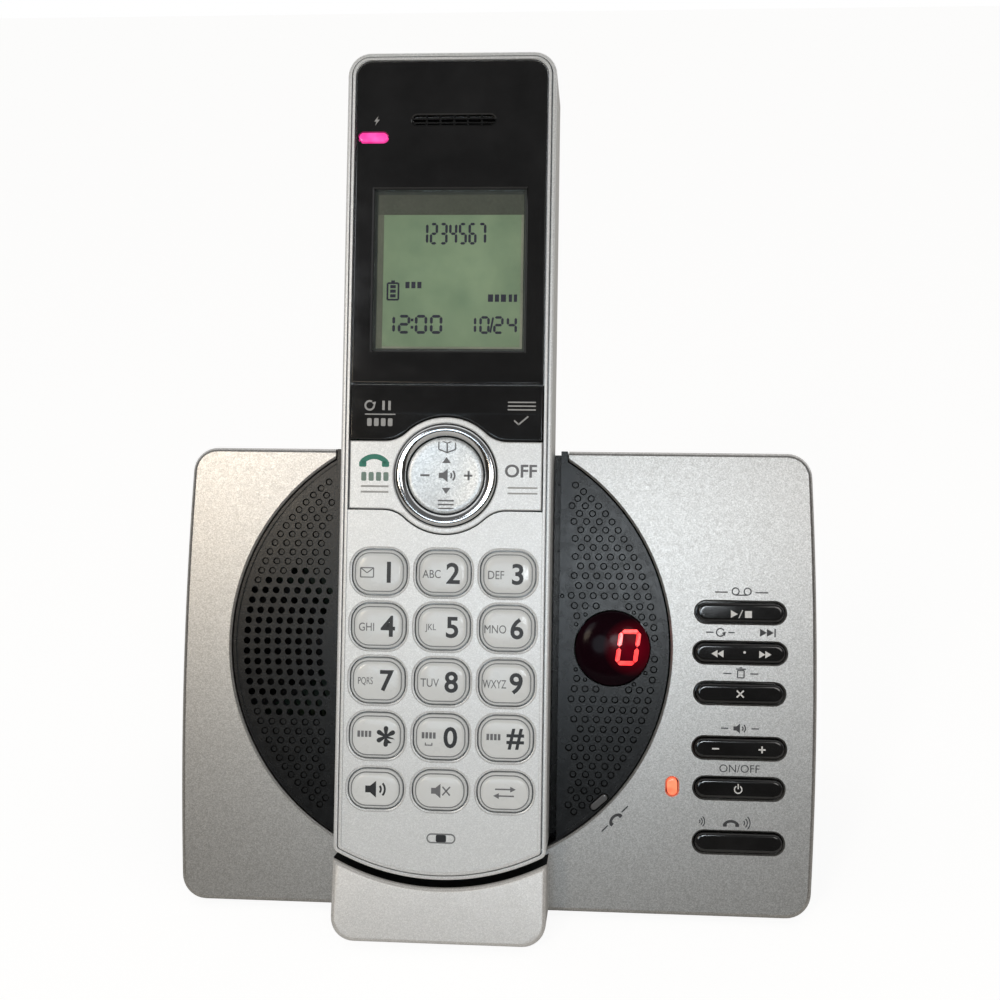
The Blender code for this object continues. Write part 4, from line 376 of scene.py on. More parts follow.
# painted shade: the speaker basket's steel plating darkened, so the grille holes stay dark
shadedBasketSteel = plating("shadedBasketSteel", (0.02, 0.02, 0.021), 0.45)
nickelPlate = plating("nickelPlate", (0.72, 0.68, 0.58), 0.22)
footRubber = mouldedPlastic("footRubber", (0.02, 0.02, 0.02), (0.04, 0.04, 0.04), 0.85, 1800, 0.03)
membraneRubber = mouldedPlastic("membraneRubber", (0.16, 0.165, 0.175), (0.20, 0.21, 0.22), 0.7, 1200, 0.02)
boardGreen = mouldedPlastic("boardGreen", (0.004, 0.045, 0.014), (0.008, 0.07, 0.022), 0.4, 700, 0.05)
conePaper = mouldedPlastic("conePaper", (0.006, 0.006, 0.006), (0.012, 0.012, 0.012), 0.9, 1600, 0.05)
batteryWrap = glossPlastic("batteryWrap", (0.01, 0.035, 0.15), (0.015, 0.05, 0.2), 0.3)
darkRed = glossPlastic("darkRed", (0.006, 0.002, 0.004), (0.012, 0.002, 0.005), 0.09, 0.0, 0.05)
glowAround(darkRed, (40.4, 0.6), 1.6, 6.4, (0.75, 0.0, 0.03), 0.13)
lcdGreen = mouldedPlastic("lcdGreen", (0.42, 0.56, 0.37), (0.52, 0.66, 0.43), 0.5, 300, 0.002)
# painted light: a glow over the green LCD face that stands in for the light it catches
glowAround(lcdGreen, (0, 82), 0.0, 40.0, (0.55, 0.75, 0.50), 0.14)
greyLens = glossPlastic("greyLens", (0.07, 0.07, 0.073), (0.10, 0.10, 0.104), 0.3)
orangeGlow = lit("orangeGlow", (1.0, 0.08, 0.03), (1.0, 0.30, 0.16), 1.0)
pinkGlow = lit("pinkGlow", (0.80, 0.01, 0.22), (1.0, 0.10, 0.45), 0.9)
redGlow = lit("redGlow", (1.0, 0.01, 0.02), (1.0, 0.08, 0.07), 1.6)
labelInk = ink("labelInk", (0.045, 0.045, 0.05))
# print on the keys, also laid as painted shade in the mic opening and under the band seam
keyInkAndShade = ink("keyInkAndShade", (0.012, 0.013, 0.016), 0.35)
paleInk = ink("paleInk", (0.16, 0.165, 0.18))
# painted shade: dark lines along the keys' bevels and round the mic opening
paintedEdgeShade = ink("paintedEdgeShade", (0.20, 0.21, 0.22), 0.3)
faintInk = ink("faintInk", (0.42, 0.42, 0.42))
whiteInk = ink("whiteInk", (0.80, 0.80, 0.80))
greenInk = ink("greenInk", (0.02, 0.24, 0.17))
greyInk = ink("greyInk", (0.17, 0.175, 0.19))
greenGreyInk = ink("greenGreyInk", (0.20, 0.30, 0.26))
lcdInk = ink("lcdInk", (0.05, 0.045, 0.10))
# painted shadow and painted highlight for the LCD window's recess
shadeInk = ink("shadeInk", (0.20, 0.205, 0.165))
sideShade = ink("sideShade", (0.30, 0.31, 0.24))
paintedRimHighlight = ink("paintedRimHighlight", (0.62, 0.62, 0.50))
softInk = ink("softInk", (0.40, 0.40, 0.40))
bezelGrey = mouldedPlastic("bezelGrey", (0.10, 0.11, 0.10), (0.14, 0.15, 0.14), 0.4)


def clearSheet(name):
    # a clear window: see-through, with a mirror gloss that grows at a slant
    made, tree, shader = newMaterial(name)
    tree.nodes.remove(shader)
    tint = ramp(tree, noiseOn(tree, 120, 3), (0.3, (0.86, 0.88, 0.87)), (0.7, (0.92, 0.93, 0.92)))
    normal = addNode(tree, "Bump", {"Distance": 0.004 * mm, "Height": noiseOn(tree, 60, 2)}, "Normal")
    gloss = addNode(tree, "BsdfGlossy", {"Roughness": spread(tree, noiseOn(tree, 200, 4), 0.03, 0.09),
                                         "Normal": normal})
    mixed = addNode(tree, "MixShader", {"Fac": addNode(tree, "Fresnel", {"IOR": 1.45}),
                                        1: addNode(tree, "BsdfTransparent", {"Color": tint}), 2: gloss})
    tree.links.new(mixed, tree.nodes["Material Output"].inputs["Surface"])
    return made


clearWindow = clearSheet("clearWindow")
print("finishes ready")

# CAD nodes that stay as they are get their finish here; the pieces below replace the rest
nodeFinish = (
    (footRubber, "foot_front_left foot_front_right foot_rear_left foot_rear_right"),
    (steelPlate, "body_screw_left body_screw_right handset_screw_top handset_screw_bottom"),
    (housingPlastic, "line_jack power_jack rear_housing"), (nickelPlate, "charge_contacts charge_strips"),
    (boardGreen, "main_board button_board handset_board"), (membraneRubber, "button_membrane keypad_membrane"),
    (pianoBlack, "display_module play_stop_button delete_button answer_button find_handset_button "
                 "repeat_skip_rocker volume_rocker handset_faceplate soft_key_band"),
    (pearlPaint, "handset_shell handset_frame battery_cover talk_off_band nav_pad"), (silverPaint, "front_cover"),
    (charcoal, "cradle_panel"), (darkRed, "display_lens"), (orangeGlow, "answer_light"), (pinkGlow, "charge_light"),
    (greyLens, "in_use_light lcd_window"), (lcdGreen, "lcd_module"), (batteryWrap, "battery_pack"),
    (shadedBasketSteel, "speaker_basket"), (conePaper, "speaker_cone earpiece"), (chromePlate, "nav_ring"))
finishOf = {name: finish for finish, names in nodeFinish for name in names.split()}
for nodeName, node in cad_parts.items():
    paint(node, finishOf.get(nodeName, keyPlastic))


def lampOnFace(name, place, size, power, colour):
    light = bpy.data.lights.new(name, "AREA")
    light.shape = "DISK"
    light.size = size
    light.energy = power
    light.color = colour
    lamp = bpy.data.objects.new(name, light)
    bpy.context.collection.objects.link(lamp)
    lamp.location = faceFrame @ (Vector(place) * mm)
    aim = faceFrame @ Vector((10 * mm, 20 * mm, 0)) - lamp.location
    lamp.rotation_euler = aim.to_track_quat("-Z", "Y").to_euler()


view = {"place": (33.9, 21.7, 309.5), "tip": 2.08, "pan": 4.21, "roll": 0.91, "lens": 50.4}
camera = bpy.data.objects.new("camera", bpy.data.cameras.new("camera"))
bpy.context.collection.objects.link(camera)
camera.data.lens = view["lens"]
camera.data.sensor_width = 36
camera.data.clip_start = 0.01
camera.matrix_world = faceFrame @ Matrix.Translation(Vector(view["place"]) * mm) @ (
    Matrix.Rotation(math.radians(view["roll"]), 4, "Z") @ Matrix.Rotation(math.radians(view["pan"]), 4, "Y")
    @ Matrix.Rotation(math.radians(view["tip"]), 4, "X"))
bpy.context.scene.camera = camera

lampOnFace("warmLamp", (-343, 130, 1000), 0.18, 0.95, (1.0, 0.85, 0.66))
lampOnFace("upperLamp", (-343, 260, 980), 0.25, 0.6, (0.90, 0.94, 1.0))
lampOnFace("handsetLamp", (-97, -20, 1050), 0.2, 0.42, (0.74, 0.88, 1.0))
lampOnFace("rightLamp", (77, 20, 1000), 0.12, 0.62, (0.88, 0.95, 1.0))
lampOnFace("sideLamp", (300, 110, 950), 0.25, 0.5, (1.0, 0.97, 0.94))


def larger(tree, first, second):
    return addNode(tree, "Math", {0: first, 1: second}, operation="MAXIMUM")


def studioWorld():
    world = bpy.data.worlds.new("studio")
    bpy.context.scene.world = world
    world.use_nodes = True
    tree = world.node_tree
    tree.nodes.clear()
    out = tree.nodes.new("ShaderNodeOutputWorld")
    cameraRay, glossyRay, clearRay = [addNode(tree, "LightPath", {}, "Is " + ray + " Ray")
                                      for ray in ("Camera", "Glossy", "Transmission")]
    # the room in front of the face is dimmer towards the floor than the backdrop behind it
    where = addNode(tree, "TexCoord", {}, "Generated")
    height = spread(tree, addNode(tree, "SeparateXYZ", {"Vector": where}, "Z"), 0.0, 1.0, 0.02, 0.62)
    room = ramp(tree, height, (0.0, (0.03, 0.025, 0.02)), (0.45, (0.04, 0.038, 0.035)), (1.0, (0.12, 0.12, 0.12)))
    behind = spread(tree, addNode(tree, "SeparateXYZ", {"Vector": where}, "Y"), 0.0, 1.0, -0.25, 0.05)
    both = tree.nodes.new("ShaderNodeMix")
    both.data_type = "RGBA"
    fillInputs(tree, both, {"Factor": larger(tree, behind, cameraRay), 6: room, 7: (1, 1, 1, 1)})
    seen = addNode(tree, "Background", {"Color": both.outputs[2], "Strength": 1.0})
    fill = addNode(tree, "Background", {"Color": (1.0, 0.95, 0.86, 1), "Strength": 0.33})
    mixed = addNode(tree, "MixShader", {"Fac": larger(tree, larger(tree, cameraRay, glossyRay), clearRay),
                                        1: fill, 2: seen})
    tree.links.new(mixed, out.inputs["Surface"])


def paleFloor():
    bpy.ops.object.select_all(action="DESELECT")
    bpy.ops.mesh.primitive_plane_add(size=30)
    floor = bpy.context.object
    floor.name = "floor"
    made, tree, shader = newMaterial("floorWhite")
    fillInputs(tree, shader, {"Base Color": (0.86, 0.86, 0.86, 1), "Roughness": 0.9, "Specular IOR Level": 0.1})
    share = addNode(tree, "Math", {0: addNode(tree, "LightPath", {}, "Is Camera Ray"), 1: 0.75}, operation="MULTIPLY")
    mixed = addNode(tree, "MixShader", {"Fac": share, 1: shader.outputs["BSDF"],
                                        2: addNode(tree, "Emission", {"Strength": 1.2})})
    tree.links.new(mixed, tree.nodes["Material Output"].inputs["Surface"])
    floor.data.materials.append(made)


studioWorld()
paleFloor()
bpy.context.scene.view_settings.view_transform = "Standard"
print("camera and lamps ready")


plate = {"top": 43.6, "bottom": -57.3, "middle": 10.4, "half": 70.29, "widest": -11.0, "bow": 915.0,
         "corner": 5.5, "wall": 2.2, "seam": -8.0, "edge": 0.9, "hole": 49.0, "chamfer": 0.45}
buttons = {"middle": 64.0, "length": 18.9, "rocker": 19.5, "width": 4.1, "stand": 0.7,
           "heights": {"play_stop_button": 8.7, "delete_button": -8.9, "answer_button": -29.5,
                       "find_handset_button": -41.2, "repeat_skip_rocker": -0.1, "volume_rocker": -20.8}}
lights = {"answer": (49.6, -29.45), "answerSize": (3.7, 2.2), "inUse": (33.7, -33.4), "inUseSize": (4.5, 1.5),
          "inUseTurn": 42}
channel = {"half": 24.4, "wall": 1.4, "seat": 48.9, "floor": -13.9, "back": -15.5}


def plateOutline(inset=0.0):
    bow = plate["bow"] - inset
    corner = plate["corner"] - min(inset, plate["corner"] / 2)
    top, bottom = plate["top"] - inset, plate["bottom"] + inset
    side = lambda v: plate["half"] - plate["bow"] + math.sqrt(bow ** 2 - (v - plate["widest"]) ** 2)
    low, high = bottom + corner, top - corner
    right = arcPoints((side(low) - corner, low), corner, -90, -2, 9)
    right += [(side(low + (high - low) * k / 16), low + (high - low) * k / 16) for k in range(1, 16)]
    right += arcPoints((side(high) - corner, high), corner, 2, 90, 9)
    return [(plate["middle"] + u, v) for u, v in right + [(-u, v) for u, v in reversed(right)]]


def footedOutline(half, top, radius, topCorner, footCorner, steps=9):
    # upright shape whose bottom edge is an arc about the insert's centre
    cornerU = half - footCorner
    cornerV = -math.sqrt((radius - footCorner) ** 2 - cornerU ** 2)
    swing = math.degrees(math.atan2(cornerV, cornerU))
    right = arcPoints((0, 0), radius, -90, swing, 20) + arcPoints((cornerU, cornerV), footCorner, swing, 0, 5)[1:]
    if topCorner:
        right += arcPoints((half - topCorner, top - topCorner), topCorner, 0, 90, steps)
    else:
        right.append((half, top))
    return right + [(-u, v) for u, v in reversed(right)][:-1]


def worldBlock(name, low, high):
    # a plain cutter lying square to the floor
    bpy.ops.object.select_all(action="DESELECT")
    bpy.ops.mesh.primitive_cube_add(size=1)
    block = bpy.context.object
    block.name = name
    place = Matrix.Translation((Vector(low) + Vector(high)) / 2 * mm)
    size = Matrix.Diagonal((*((Vector(high) - Vector(low)) * mm), 1))
    block.matrix_world = faceFrame.inverted() @ place @ size
    return block


def underBlock(floor):
    return worldBlock("underBlock", (-200, -200, floor - 200), (200, 200, floor))


# the rear wall leans forward a little: x across, y up the wall, z out of it
rear = {"reach": 50.0, "topDepth": 20.0, "foot": 1.5, "wall": 1.8}
rearTop = faceFrame @ (Vector((0, plate["top"], -rear["topDepth"])) * mm)
rearFoot = Vector((0, rear["reach"] + stance["back"], rear["foot"])) * mm
rearUp = Vector((0, rearTop.y - rearFoot.y, rearTop.z - rearFoot.z)).normalized()
rearFrame = Matrix.Translation(rearFoot) @ Matrix((
    (-1, 0, 0), (0, rearUp.y, rearUp.z), (0, rearUp.z, -rearUp.y))).to_4x4()


def rearTool(piece):
    # takes a piece drawn on the rear wall into the face's own frame, for cutting
    piece.matrix_world = faceFrame.inverted() @ rearFrame @ piece.matrix_world
    return piece


def makePlate():
    cover = slab("frontPlate", plateOutline(), plate["seam"], 0, plate["edge"], 4)
    carve(cover, underBlock(rear["foot"]))
    carve(cover, slab("room", plateOutline(plate["wall"]), plate["seam"] - 4, -plate["wall"]))
    hole, chamfer = plate["hole"], plate["chamfer"]
    carve(cover, slab("hole", ringPoints((0, 0), hole, 160), -12, 4))
    carve(cover, slab("flare", ringPoints((0, 0), hole + chamfer, 160), -chamfer, 4, bottomRound=chamfer, steps=1))
    notch = channel["half"] + channel["wall"] + fit
    carve(cover, slab("notch", boxPoints(-notch, 0, notch, 60), -12, 4))
    wells, flares = [], []
    for name, v in buttons["heights"].items():
        length = (buttons["rocker"] if name.endswith("rocker") else buttons["length"]) + fit * 2
        width = buttons["width"] + fit * 2
        wells.append(slab("well", pillPoints((buttons["middle"], v), length, width), -5, 3))
        flares.append(slab("flare", pillPoints((buttons["middle"], v), length + 0.7, width + 0.7), -0.35, 3,
                           bottomRound=0.35, steps=1))
    length, width = lights["answerSize"]
    wells.append(slab("well", pillPoints(lights["answer"], length + 0.5, width + 0.5, 90), -5, 3))
    flares.append(slab("flare", pillPoints(lights["answer"], length + 0.9, width + 0.9, 90), -0.2, 3,
                       bottomRound=0.2, steps=1))
    carve(cover, group("wells", wells), group("flares", flares))
    finishPiece(cover, silverPaint, "base", "silver_paint", "front_cover", level=0)


lip = {"half": 22.9, "bottom": -61.87, "corner": 5.0, "arc": 50.3, "front": 12.975, "back": -1.1, "edge": 0.9,
       "fall": 0.11}


def makeLip():
    half, arc, corner, bottom = lip["half"], lip["arc"], lip["corner"], lip["bottom"]
    swing = math.degrees(math.acos(half / arc))
    outline = arcPoints((0, 0), arc, -swing, -180 + swing, 40)
    outline += arcPoints((-half + corner, bottom + corner), corner, 180, 270, 9)
    outline += arcPoints((half - corner, bottom + corner), corner, 270, 360, 9)
    piece = slab("cradleLip", outline, lip["back"], lip["front"], lip["edge"], 4)
    for vert in piece.data.vertices:  # the front falls back a little towards the handset
        if vert.co.z > 8 * mm:
            vert.co.z -= max(0, vert.co.y - bottom * mm - 2 * mm) * lip["fall"]
    carve(piece, underBlock(rear["foot"]))
    smooth(piece)
    # the lip is painted lighter than the plate it is moulded with: painted light
    paint(piece, litLipPaint)
    # the lip's inner wall, which faces the handset, gets painted shade
    piece.data.materials.append(paintedShadeBlack)
    for face in piece.data.polygons:
        if face.normal.y > 0.6 and face.center.z < (lip["front"] - lip["edge"] - 1.5) * mm:
            face.material_index = 1
    placeOnFace(piece, "base", "silver_paint", "front_cover")


jacks = {"rise": 13.0, "line": (18.0, 14.0, 12.0), "power": (-18.0, 10.0, 10.0)}
vents = {"count": 9, "pitch": 4.4, "width": 1.6, "length": 14.0, "rise": 62.0}
screws = {"places": ((-50.0, -48.6), (71.0, -48.6)), "well": 2.3}
feet = {"inset": 22.0, "front": 15.0, "rear": 10.0, "radius": 5.3, "recess": 0.8}


def housingForm(inset):
    form = slab("form", plateOutline(inset), -90, -8.3 if not inset else 4)
    carve(form, underBlock(rear["foot"] + inset))
    beyond = slab("beyond", boxPoints(-200, -100, 200, 300), -inset, 200)
    carve(form, rearTool(beyond))
    return form


def makeHousing():
    housing = housingForm(0)
    turned = faceFrame.to_3x3().inverted()
    roundFlats(housing, 1.2, 4, turned @ rearFrame.to_3x3().col[2], turned @ Vector((0, 0, -1)))
    carve(housing, housingForm(rear["wall"]))
    notch = channel["half"] + channel["wall"] + fit
    carve(housing, slab("notch", boxPoints(-notch, 0, notch, 60), channel["back"] - fit, 4))
    openings = []
    for k in range(vents["count"]):
        across = (k - (vents["count"] - 1) / 2) * vents["pitch"]
        outline = pillPoints((across, vents["rise"]), vents["length"], vents["width"], 90, 6)
        openings.append(slab("vent", outline, -6, 4))
    for across, width, height in (jacks["line"], jacks["power"]):
        openings.append(slab("jackHole", roundBox((across, jacks["rise"]), width + 0.6, height + 0.6, 0.4, 3), -6, 4))
    carve(housing, rearTool(group("openings", openings)))
    wells = [slab("well", ringPoints(place, screws["well"], 32), -70, -10.3) for place in screws["places"]]
    carve(housing, group("wells", wells))
    recesses = []
    for side in (-1, 1):
        for y in (plate["bottom"] * math.sin(lean) + stance["back"] + feet["front"],
                  rear["reach"] + stance["back"] - feet["rear"]):
            recess = slab("recess", ringPoints((side * (plate["half"] - feet["inset"]), y), feet["radius"], 40), -4,
                          rear["foot"] + feet["recess"])
            recess.matrix_world = faceFrame.inverted()
            recesses.append(recess)
    for recess in recesses:
        carve(housing, recess)
    finishPiece(housing, housingPlastic, "base", "black_plastic", "rear_housing")


makePlate()
makeLip()
makeHousing()
print("base body ready")


insert = {"radius": 48.7, "face": -0.5, "wing": -2.6, "grooveIn": 47.45, "grooveOut": 47.95, "grooveDepth": 0.45}
grille = {"ring": 45.5, "row": 2.3, "lift": 0.4, "pitch": 2.34, "stretch": 0.6, "hole": 0.78, "dimple": 0.80,
          "dimpleFoot": 0.54, "deep": 0.34, "speaker": (-33.9, -0.2), "reach": 16.6, "edge": 26.9,
          "small": ((25.0, 11.6), (30.2, 7.6), (28.2, 5.4), (28.2, -4.5), (30.3, -6.7), (40.8, 8.2), (43.4, 5.7),
                    (43.5, -5.0), (41.0, -7.5))}
lens = {"centre": (36.2, 0.3), "radius": 8.2, "back": -2.4, "dome": 1.3}


def grillePlaces():
    places = []
    for row in range(-20, 21):
        turn = (row * grille["row"] + grille["lift"]) / grille["ring"]
        v = grille["ring"] * math.sin(turn)
        u = -grille["ring"] * math.cos(turn)
        while u < -grille["edge"]:
            places.append((u, v))
            u += grille["pitch"] * (1 + grille["stretch"] * (v / 49) ** 2)
    return places


def pins(name, places, radius, low, high, sides, foot=None):
    # one pin, narrower at its foot if so asked, then a copy with its own mesh at each place
    first = slab(name, ringPoints((0, 0), radius, sides), low, high)
    for vert in first.data.vertices:
        if foot and vert.co.z < (low + high) / 2 * mm:
            vert.co.xy *= foot / radius
    copies = []
    for u, v in places:
        twin = first.copy()
        twin.data = first.data.copy()
        bpy.context.collection.objects.link(twin)
        twin.location = (u * mm, v * mm, 0)
        copies.append(twin)
    bpy.data.objects.remove(first)
    made = group(name, copies)
    choose(made)
    bpy.ops.object.transform_apply(location=True, rotation=False, scale=False)
    return made


def makeInsert():
    panel = slab("insert", ringPoints((0, 0), insert["radius"], 160), insert["wing"], insert["face"], 0.12, 2)
    groove = slab("groove", ringPoints((0, 0), insert["grooveOut"], 160), insert["face"] - insert["grooveDepth"], 2)
    carve(groove, slab("core", ringPoints((0, 0), insert["grooveIn"], 160), -4, 4))
    carve(panel, groove)
    carve(panel, slab("above", boxPoints(-60, plate["top"] - plate["wall"] - fit, 60, 90), -9, 9))
    outer = channel["half"] + channel["wall"]
    weld(panel, slab("cheeks", boxPoints(-outer, 0, outer, plate["top"]), insert["wing"], insert["face"]))
    trough = footedOutline(outer, plate["top"], channel["seat"] + channel["wall"], 0, 3.0)
    weld(panel, slab("trough", trough, channel["back"], -2.2))
    carve(panel, underBlock(rear["foot"] + rear["wall"] + fit))
    carve(panel, slab("channel", footedOutline(channel["half"], 60, channel["seat"], 0, 1.6), channel["floor"], 4))
    holes, blind = [], []
    for u, v in grillePlaces():
        (holes if math.dist((u, v), grille["speaker"]) < grille["reach"] else blind).append((u, v))
        if math.dist((-u, v), lens["centre"]) > lens["radius"] + 1.2:
            blind.append((-u, v))
    carve(panel, pins("holes", holes, grille["hole"], -6, 2, 14))
    floor = insert["face"] - grille["deep"]
    above = insert["face"] + 0.02
    carve(panel, pins("dimples", blind, grille["dimple"], floor, above, 16, grille["dimpleFoot"]))
    carve(panel, pins("smallDimples", grille["small"], 0.5, floor, above, 12, 0.26))
    carve(panel, slab("lensHole", ringPoints(lens["centre"], lens["radius"] + 0.25, 64), -6, 2))
    length, width = lights["inUseSize"]
    slot = pillPoints(lights["inUse"], length + 0.5, width + 0.5, lights["inUseTurn"], 8)
    carve(panel, slab("lightSlot", slot, -6, 2))
    slots = [slab("slot", boxPoints(side * 9 - 1.5, -52, side * 9 + 1.5, -44), -8.3, -2.5) for side in (-1, 1)]
    carve(panel, group("slots", slots))
    smooth(panel, level=insert["face"])
    paint(panel, charcoal)
    # the dimples' slanted walls get painted shade, so each dimple reads as a dark ring
    panel.data.materials.append(paintedShadeBlack)
    for face in panel.data.polygons:
        slanted = 0.3 < face.normal.z < 0.95 and math.hypot(face.center.x, face.center.y) < insert["grooveIn"] * mm
        if slanted and face.center.z > (floor - 0.1) * mm:
            face.material_index = 1
    placeOnFace(panel, "base", "black_plastic", "cradle_panel")
    print("insert ready,", len(holes), "holes and", len(blind), "dimples")


def domeHeight(u, v):
    away = math.dist((u, v), lens["centre"]) / lens["radius"]
    return insert["face"] + lens["dome"] * math.sqrt(max(0, 1 - away ** 2))


def makeLens():
    dome = slab("counterLens", ringPoints(lens["centre"], lens["radius"], 72), lens["back"], insert["face"])
    choose(dome)
    bpy.ops.object.mode_set(mode="EDIT")
    pickFlat(dome, insert["face"])
    last = (1.0, 0.0)
    for turn in (8, 16, 24, 33, 43, 54, 66, 78, 86):
        now = (math.cos(math.radians(turn)), lens["dome"] * math.sin(math.radians(turn)))
        growTop(now[1] - last[1], now[0] / last[0], lens["centre"])
        last = now
    bpy.ops.object.mode_set(mode="OBJECT")
    finishPiece(dome, darkRed, "base", "dark_red_lens", "display_lens", angle=60)


def segments(character, left, low, width, height, stroke, slant=0.0):
    # outlines of a seven-bar digit
    lit = {"0": "abcdef", "1": "bc", "2": "abged", "3": "abgcd", "4": "fgbc", "5": "afgcd", "6": "afgedc",
           "7": "abc", "8": "abcdefg", "9": "abcdfg"}[character]
    half, end, side = height / 2, stroke * 0.12, stroke / 2
    bars = {"a": (0, height, 1), "g": (0, half, 1), "d": (0, 0, 1), "f": (0, half, 0), "b": (width, half, 0),
            "e": (0, 0, 0), "c": (width, 0, 0)}
    outlines = []
    for bar in lit:
        x, y, level = bars[bar]
        reach = width if level else half
        outline = [(end, 0), (end + side, -side), (reach - end - side, -side), (reach - end, 0),
                   (reach - end - side, side), (end + side, side)]
        points = [(x + a, y + b) if level else (x - b, y + a) for a, b in outline]
        outlines.append([(left + px + py * slant, low + py) for px, py in points])
    return outlines


def makeCounterDigit():
    bars = [slab("bar", outline, 0, 0.04) for outline in segments("0", 37.25, -2.8, 3.9, 6.9, 0.95, 0.13)]
    digit = group("counterDigit", bars)
    choose(digit)
    bpy.ops.object.mode_set(mode="EDIT")
    bpy.ops.mesh.select_all(action="SELECT")
    bpy.ops.mesh.subdivide(number_cuts=3)
    bpy.ops.object.mode_set(mode="OBJECT")
    for vert in digit.data.vertices:
        vert.co.z += domeHeight(vert.co.x / mm, vert.co.y / mm) * mm + 0.03 * mm
    paintAndPlace(digit, redGlow, "base", "dark_red_lens")


def makeLights():
    length, width = lights["answerSize"]
    glow = slab("answerLamp", pillPoints(lights["answer"], length, width, 90, 8), -5, 0.1, 0.25, 3)
    finishPiece(glow, orangeGlow, "base", "orange_light", "answer_light")
    length, width = lights["inUseSize"]
    dark = slab("inUseLamp", pillPoints(lights["inUse"], length, width, lights["inUseTurn"], 8), -5, -0.35, 0.2, 3)
    finishPiece(dark, greyLens, "base", "grey_light", "in_use_light")


makeInsert()
makeLens()
makeCounterDigit()
makeLights()
print("insert and counter ready")


# handset: shell, frame and faceplate

phone = {"half": 22.7, "top": 128.97, "arc": 48.6, "front": 12.4, "panel": 12.0, "rim": 11.9, "back": -13.6,
         "frameBack": 9.4, "corner": 5.0, "foot": 1.6, "edge": 3.2, "wall": 1.6, "mic": (0.4, -39.8),
         "ear": (0.5, 114.2), "lamp": (-16.9, 110.4)}
band = {"middle": 37.3, "half": 20.7, "height": 7.3, "swell": 12.5, "fillet": 7.0, "thick": 2.8, "softTop": 56.6}
glass = {"half": 16.2, "low": 64.4, "high": 98.9, "front": 11.6, "back": 10.5}
keypad = {"rows": (16.4, 4.9, -6.7, -18.4, -29.7), "pitch": 13.8, "width": 11.6, "height": 9.5, "lastHeight": 8.3,
          "corner": 3.8, "face": 12.5}
keyNames = (("key_1", "key_2", "key_3"), ("key_4", "key_5", "key_6"), ("key_7", "key_8", "key_9"),
            ("key_star", "key_0", "key_hash"), ("key_speaker", "key_mute", "key_intercom"))
keyPlaces = {name: (column * keypad["pitch"], v, keypad["lastHeight"] if v < -29 else keypad["height"])
             for names, v in zip(keyNames, keypad["rows"]) for name, column in zip(names, (-1, 0, 1))}


def stack(name, rings):
    # a solid through outlines of equal count, each at its own height
    piece = slab(name, rings[0][0], rings[0][1], rings[0][1] + 1)
    bpy.ops.object.mode_set(mode="EDIT")
    pickFlat(piece, rings[0][1] + 1)
    previous = rings[0][0]
    for number, (outline, height) in enumerate(rings[1:]):
        if number:
            bpy.ops.mesh.extrude_region_move(TRANSFORM_OT_translate={"value": (0, 0, 0)})
        mesh = bmesh.from_edit_mesh(piece.data)
        for vert in mesh.verts:
            if vert.select:
                here = (vert.co.x / mm, vert.co.y / mm)
                nearest = min(range(len(previous)), key=lambda k: math.dist(previous[k], here))
                vert.co = (outline[nearest][0] * mm, outline[nearest][1] * mm, height * mm)
        bmesh.update_edit_mesh(piece.data)
        previous = outline
    bpy.ops.mesh.select_all(action="SELECT")
    bpy.ops.mesh.normals_make_consistent(inside=False)
    bpy.ops.object.mode_set(mode="OBJECT")
    return piece


def windowBox(grow=0.0):
    return boxPoints(-glass["half"] - grow, glass["low"] - grow, glass["half"] + grow, glass["high"] + grow)


def slotsAt(low, high):
    # the earpiece's and the charge lamp's openings
    return [slab("ear", pillPoints(phone["ear"], 18, 2.2), low, high),
            slab("lamp", pillPoints(phone["lamp"], 6.8, 2.6), low, high)]


def phoneOutline(inset=0.0):
    return footedOutline(phone["half"] - inset, phone["top"] - inset, phone["arc"] - inset,
                         phone["corner"] - min(inset, phone["corner"] / 2),
                         phone["foot"] - min(inset, phone["foot"] / 2))


def coverOutline(grow=0.0):
    return roundBox((0, -1.0), 30 + grow * 2, 58 + grow * 2, 3.0 + grow, 6)


def makeShell():
    edge, back, rim = phone["edge"], phone["back"], phone["rim"]
    section = [(edge * (1 - math.sin(math.radians(turn))), back + edge * (1 - math.cos(math.radians(turn))))
               for turn in (0, 15, 30, 45, 60, 75, 90)]
    section += [(0.4 * (1 - math.cos(math.radians(turn))), rim - 0.4 + 0.4 * math.sin(math.radians(turn)))
                for turn in (0, 30, 60, 90)]
    shell = stack("handsetShell", [(phoneOutline(inset), level) for inset, level in section])
    carve(shell, slab("room", phoneOutline(phone["wall"]), back + phone["wall"], 20))
    carve(shell, slab("rebate", phoneOutline(0.8), phone["frameBack"] - fit, 20))
    carve(shell, slab("coverRoom", coverOutline(fit), back - 4, back + 1.9))
    wells = [slab("well", ringPoints(place, 1.9, 32), back - 4, -5.6) for place in ((-16.5, 122.0), (17.5, -38.0))]
    carve(shell, group("wells", wells))
    pockets = []
    for side in (-1, 1):
        low = -math.sqrt(phone["arc"] ** 2 - 81) + 0.3
        pockets.append(slab("pocket", boxPoints(side * 9 - 1.8, low - 4, side * 9 + 1.8, low + 3.7), -9.2, -1.6))
    carve(shell, group("pockets", pockets))
    finishPiece(shell, pearlPaint, "handset", "silver_paint", "handset_shell")


def makeBatteryCover():
    back = phone["back"]
    section = ((-0.6, 0), (-0.25, 0.12), (0, 0.45), (0, 1.6))
    cover = stack("batteryCover", [(coverOutline(grow), back + rise) for grow, rise in section])
    grips = [slab("grip", pillPoints((0, 20.5 - k * 1.8), 11, 0.8), back - 2, back + 0.35) for k in range(5)]
    carve(cover, group("grips", grips))
    finishPiece(cover, pearlPaint, "handset", "silver_paint", "battery_cover")


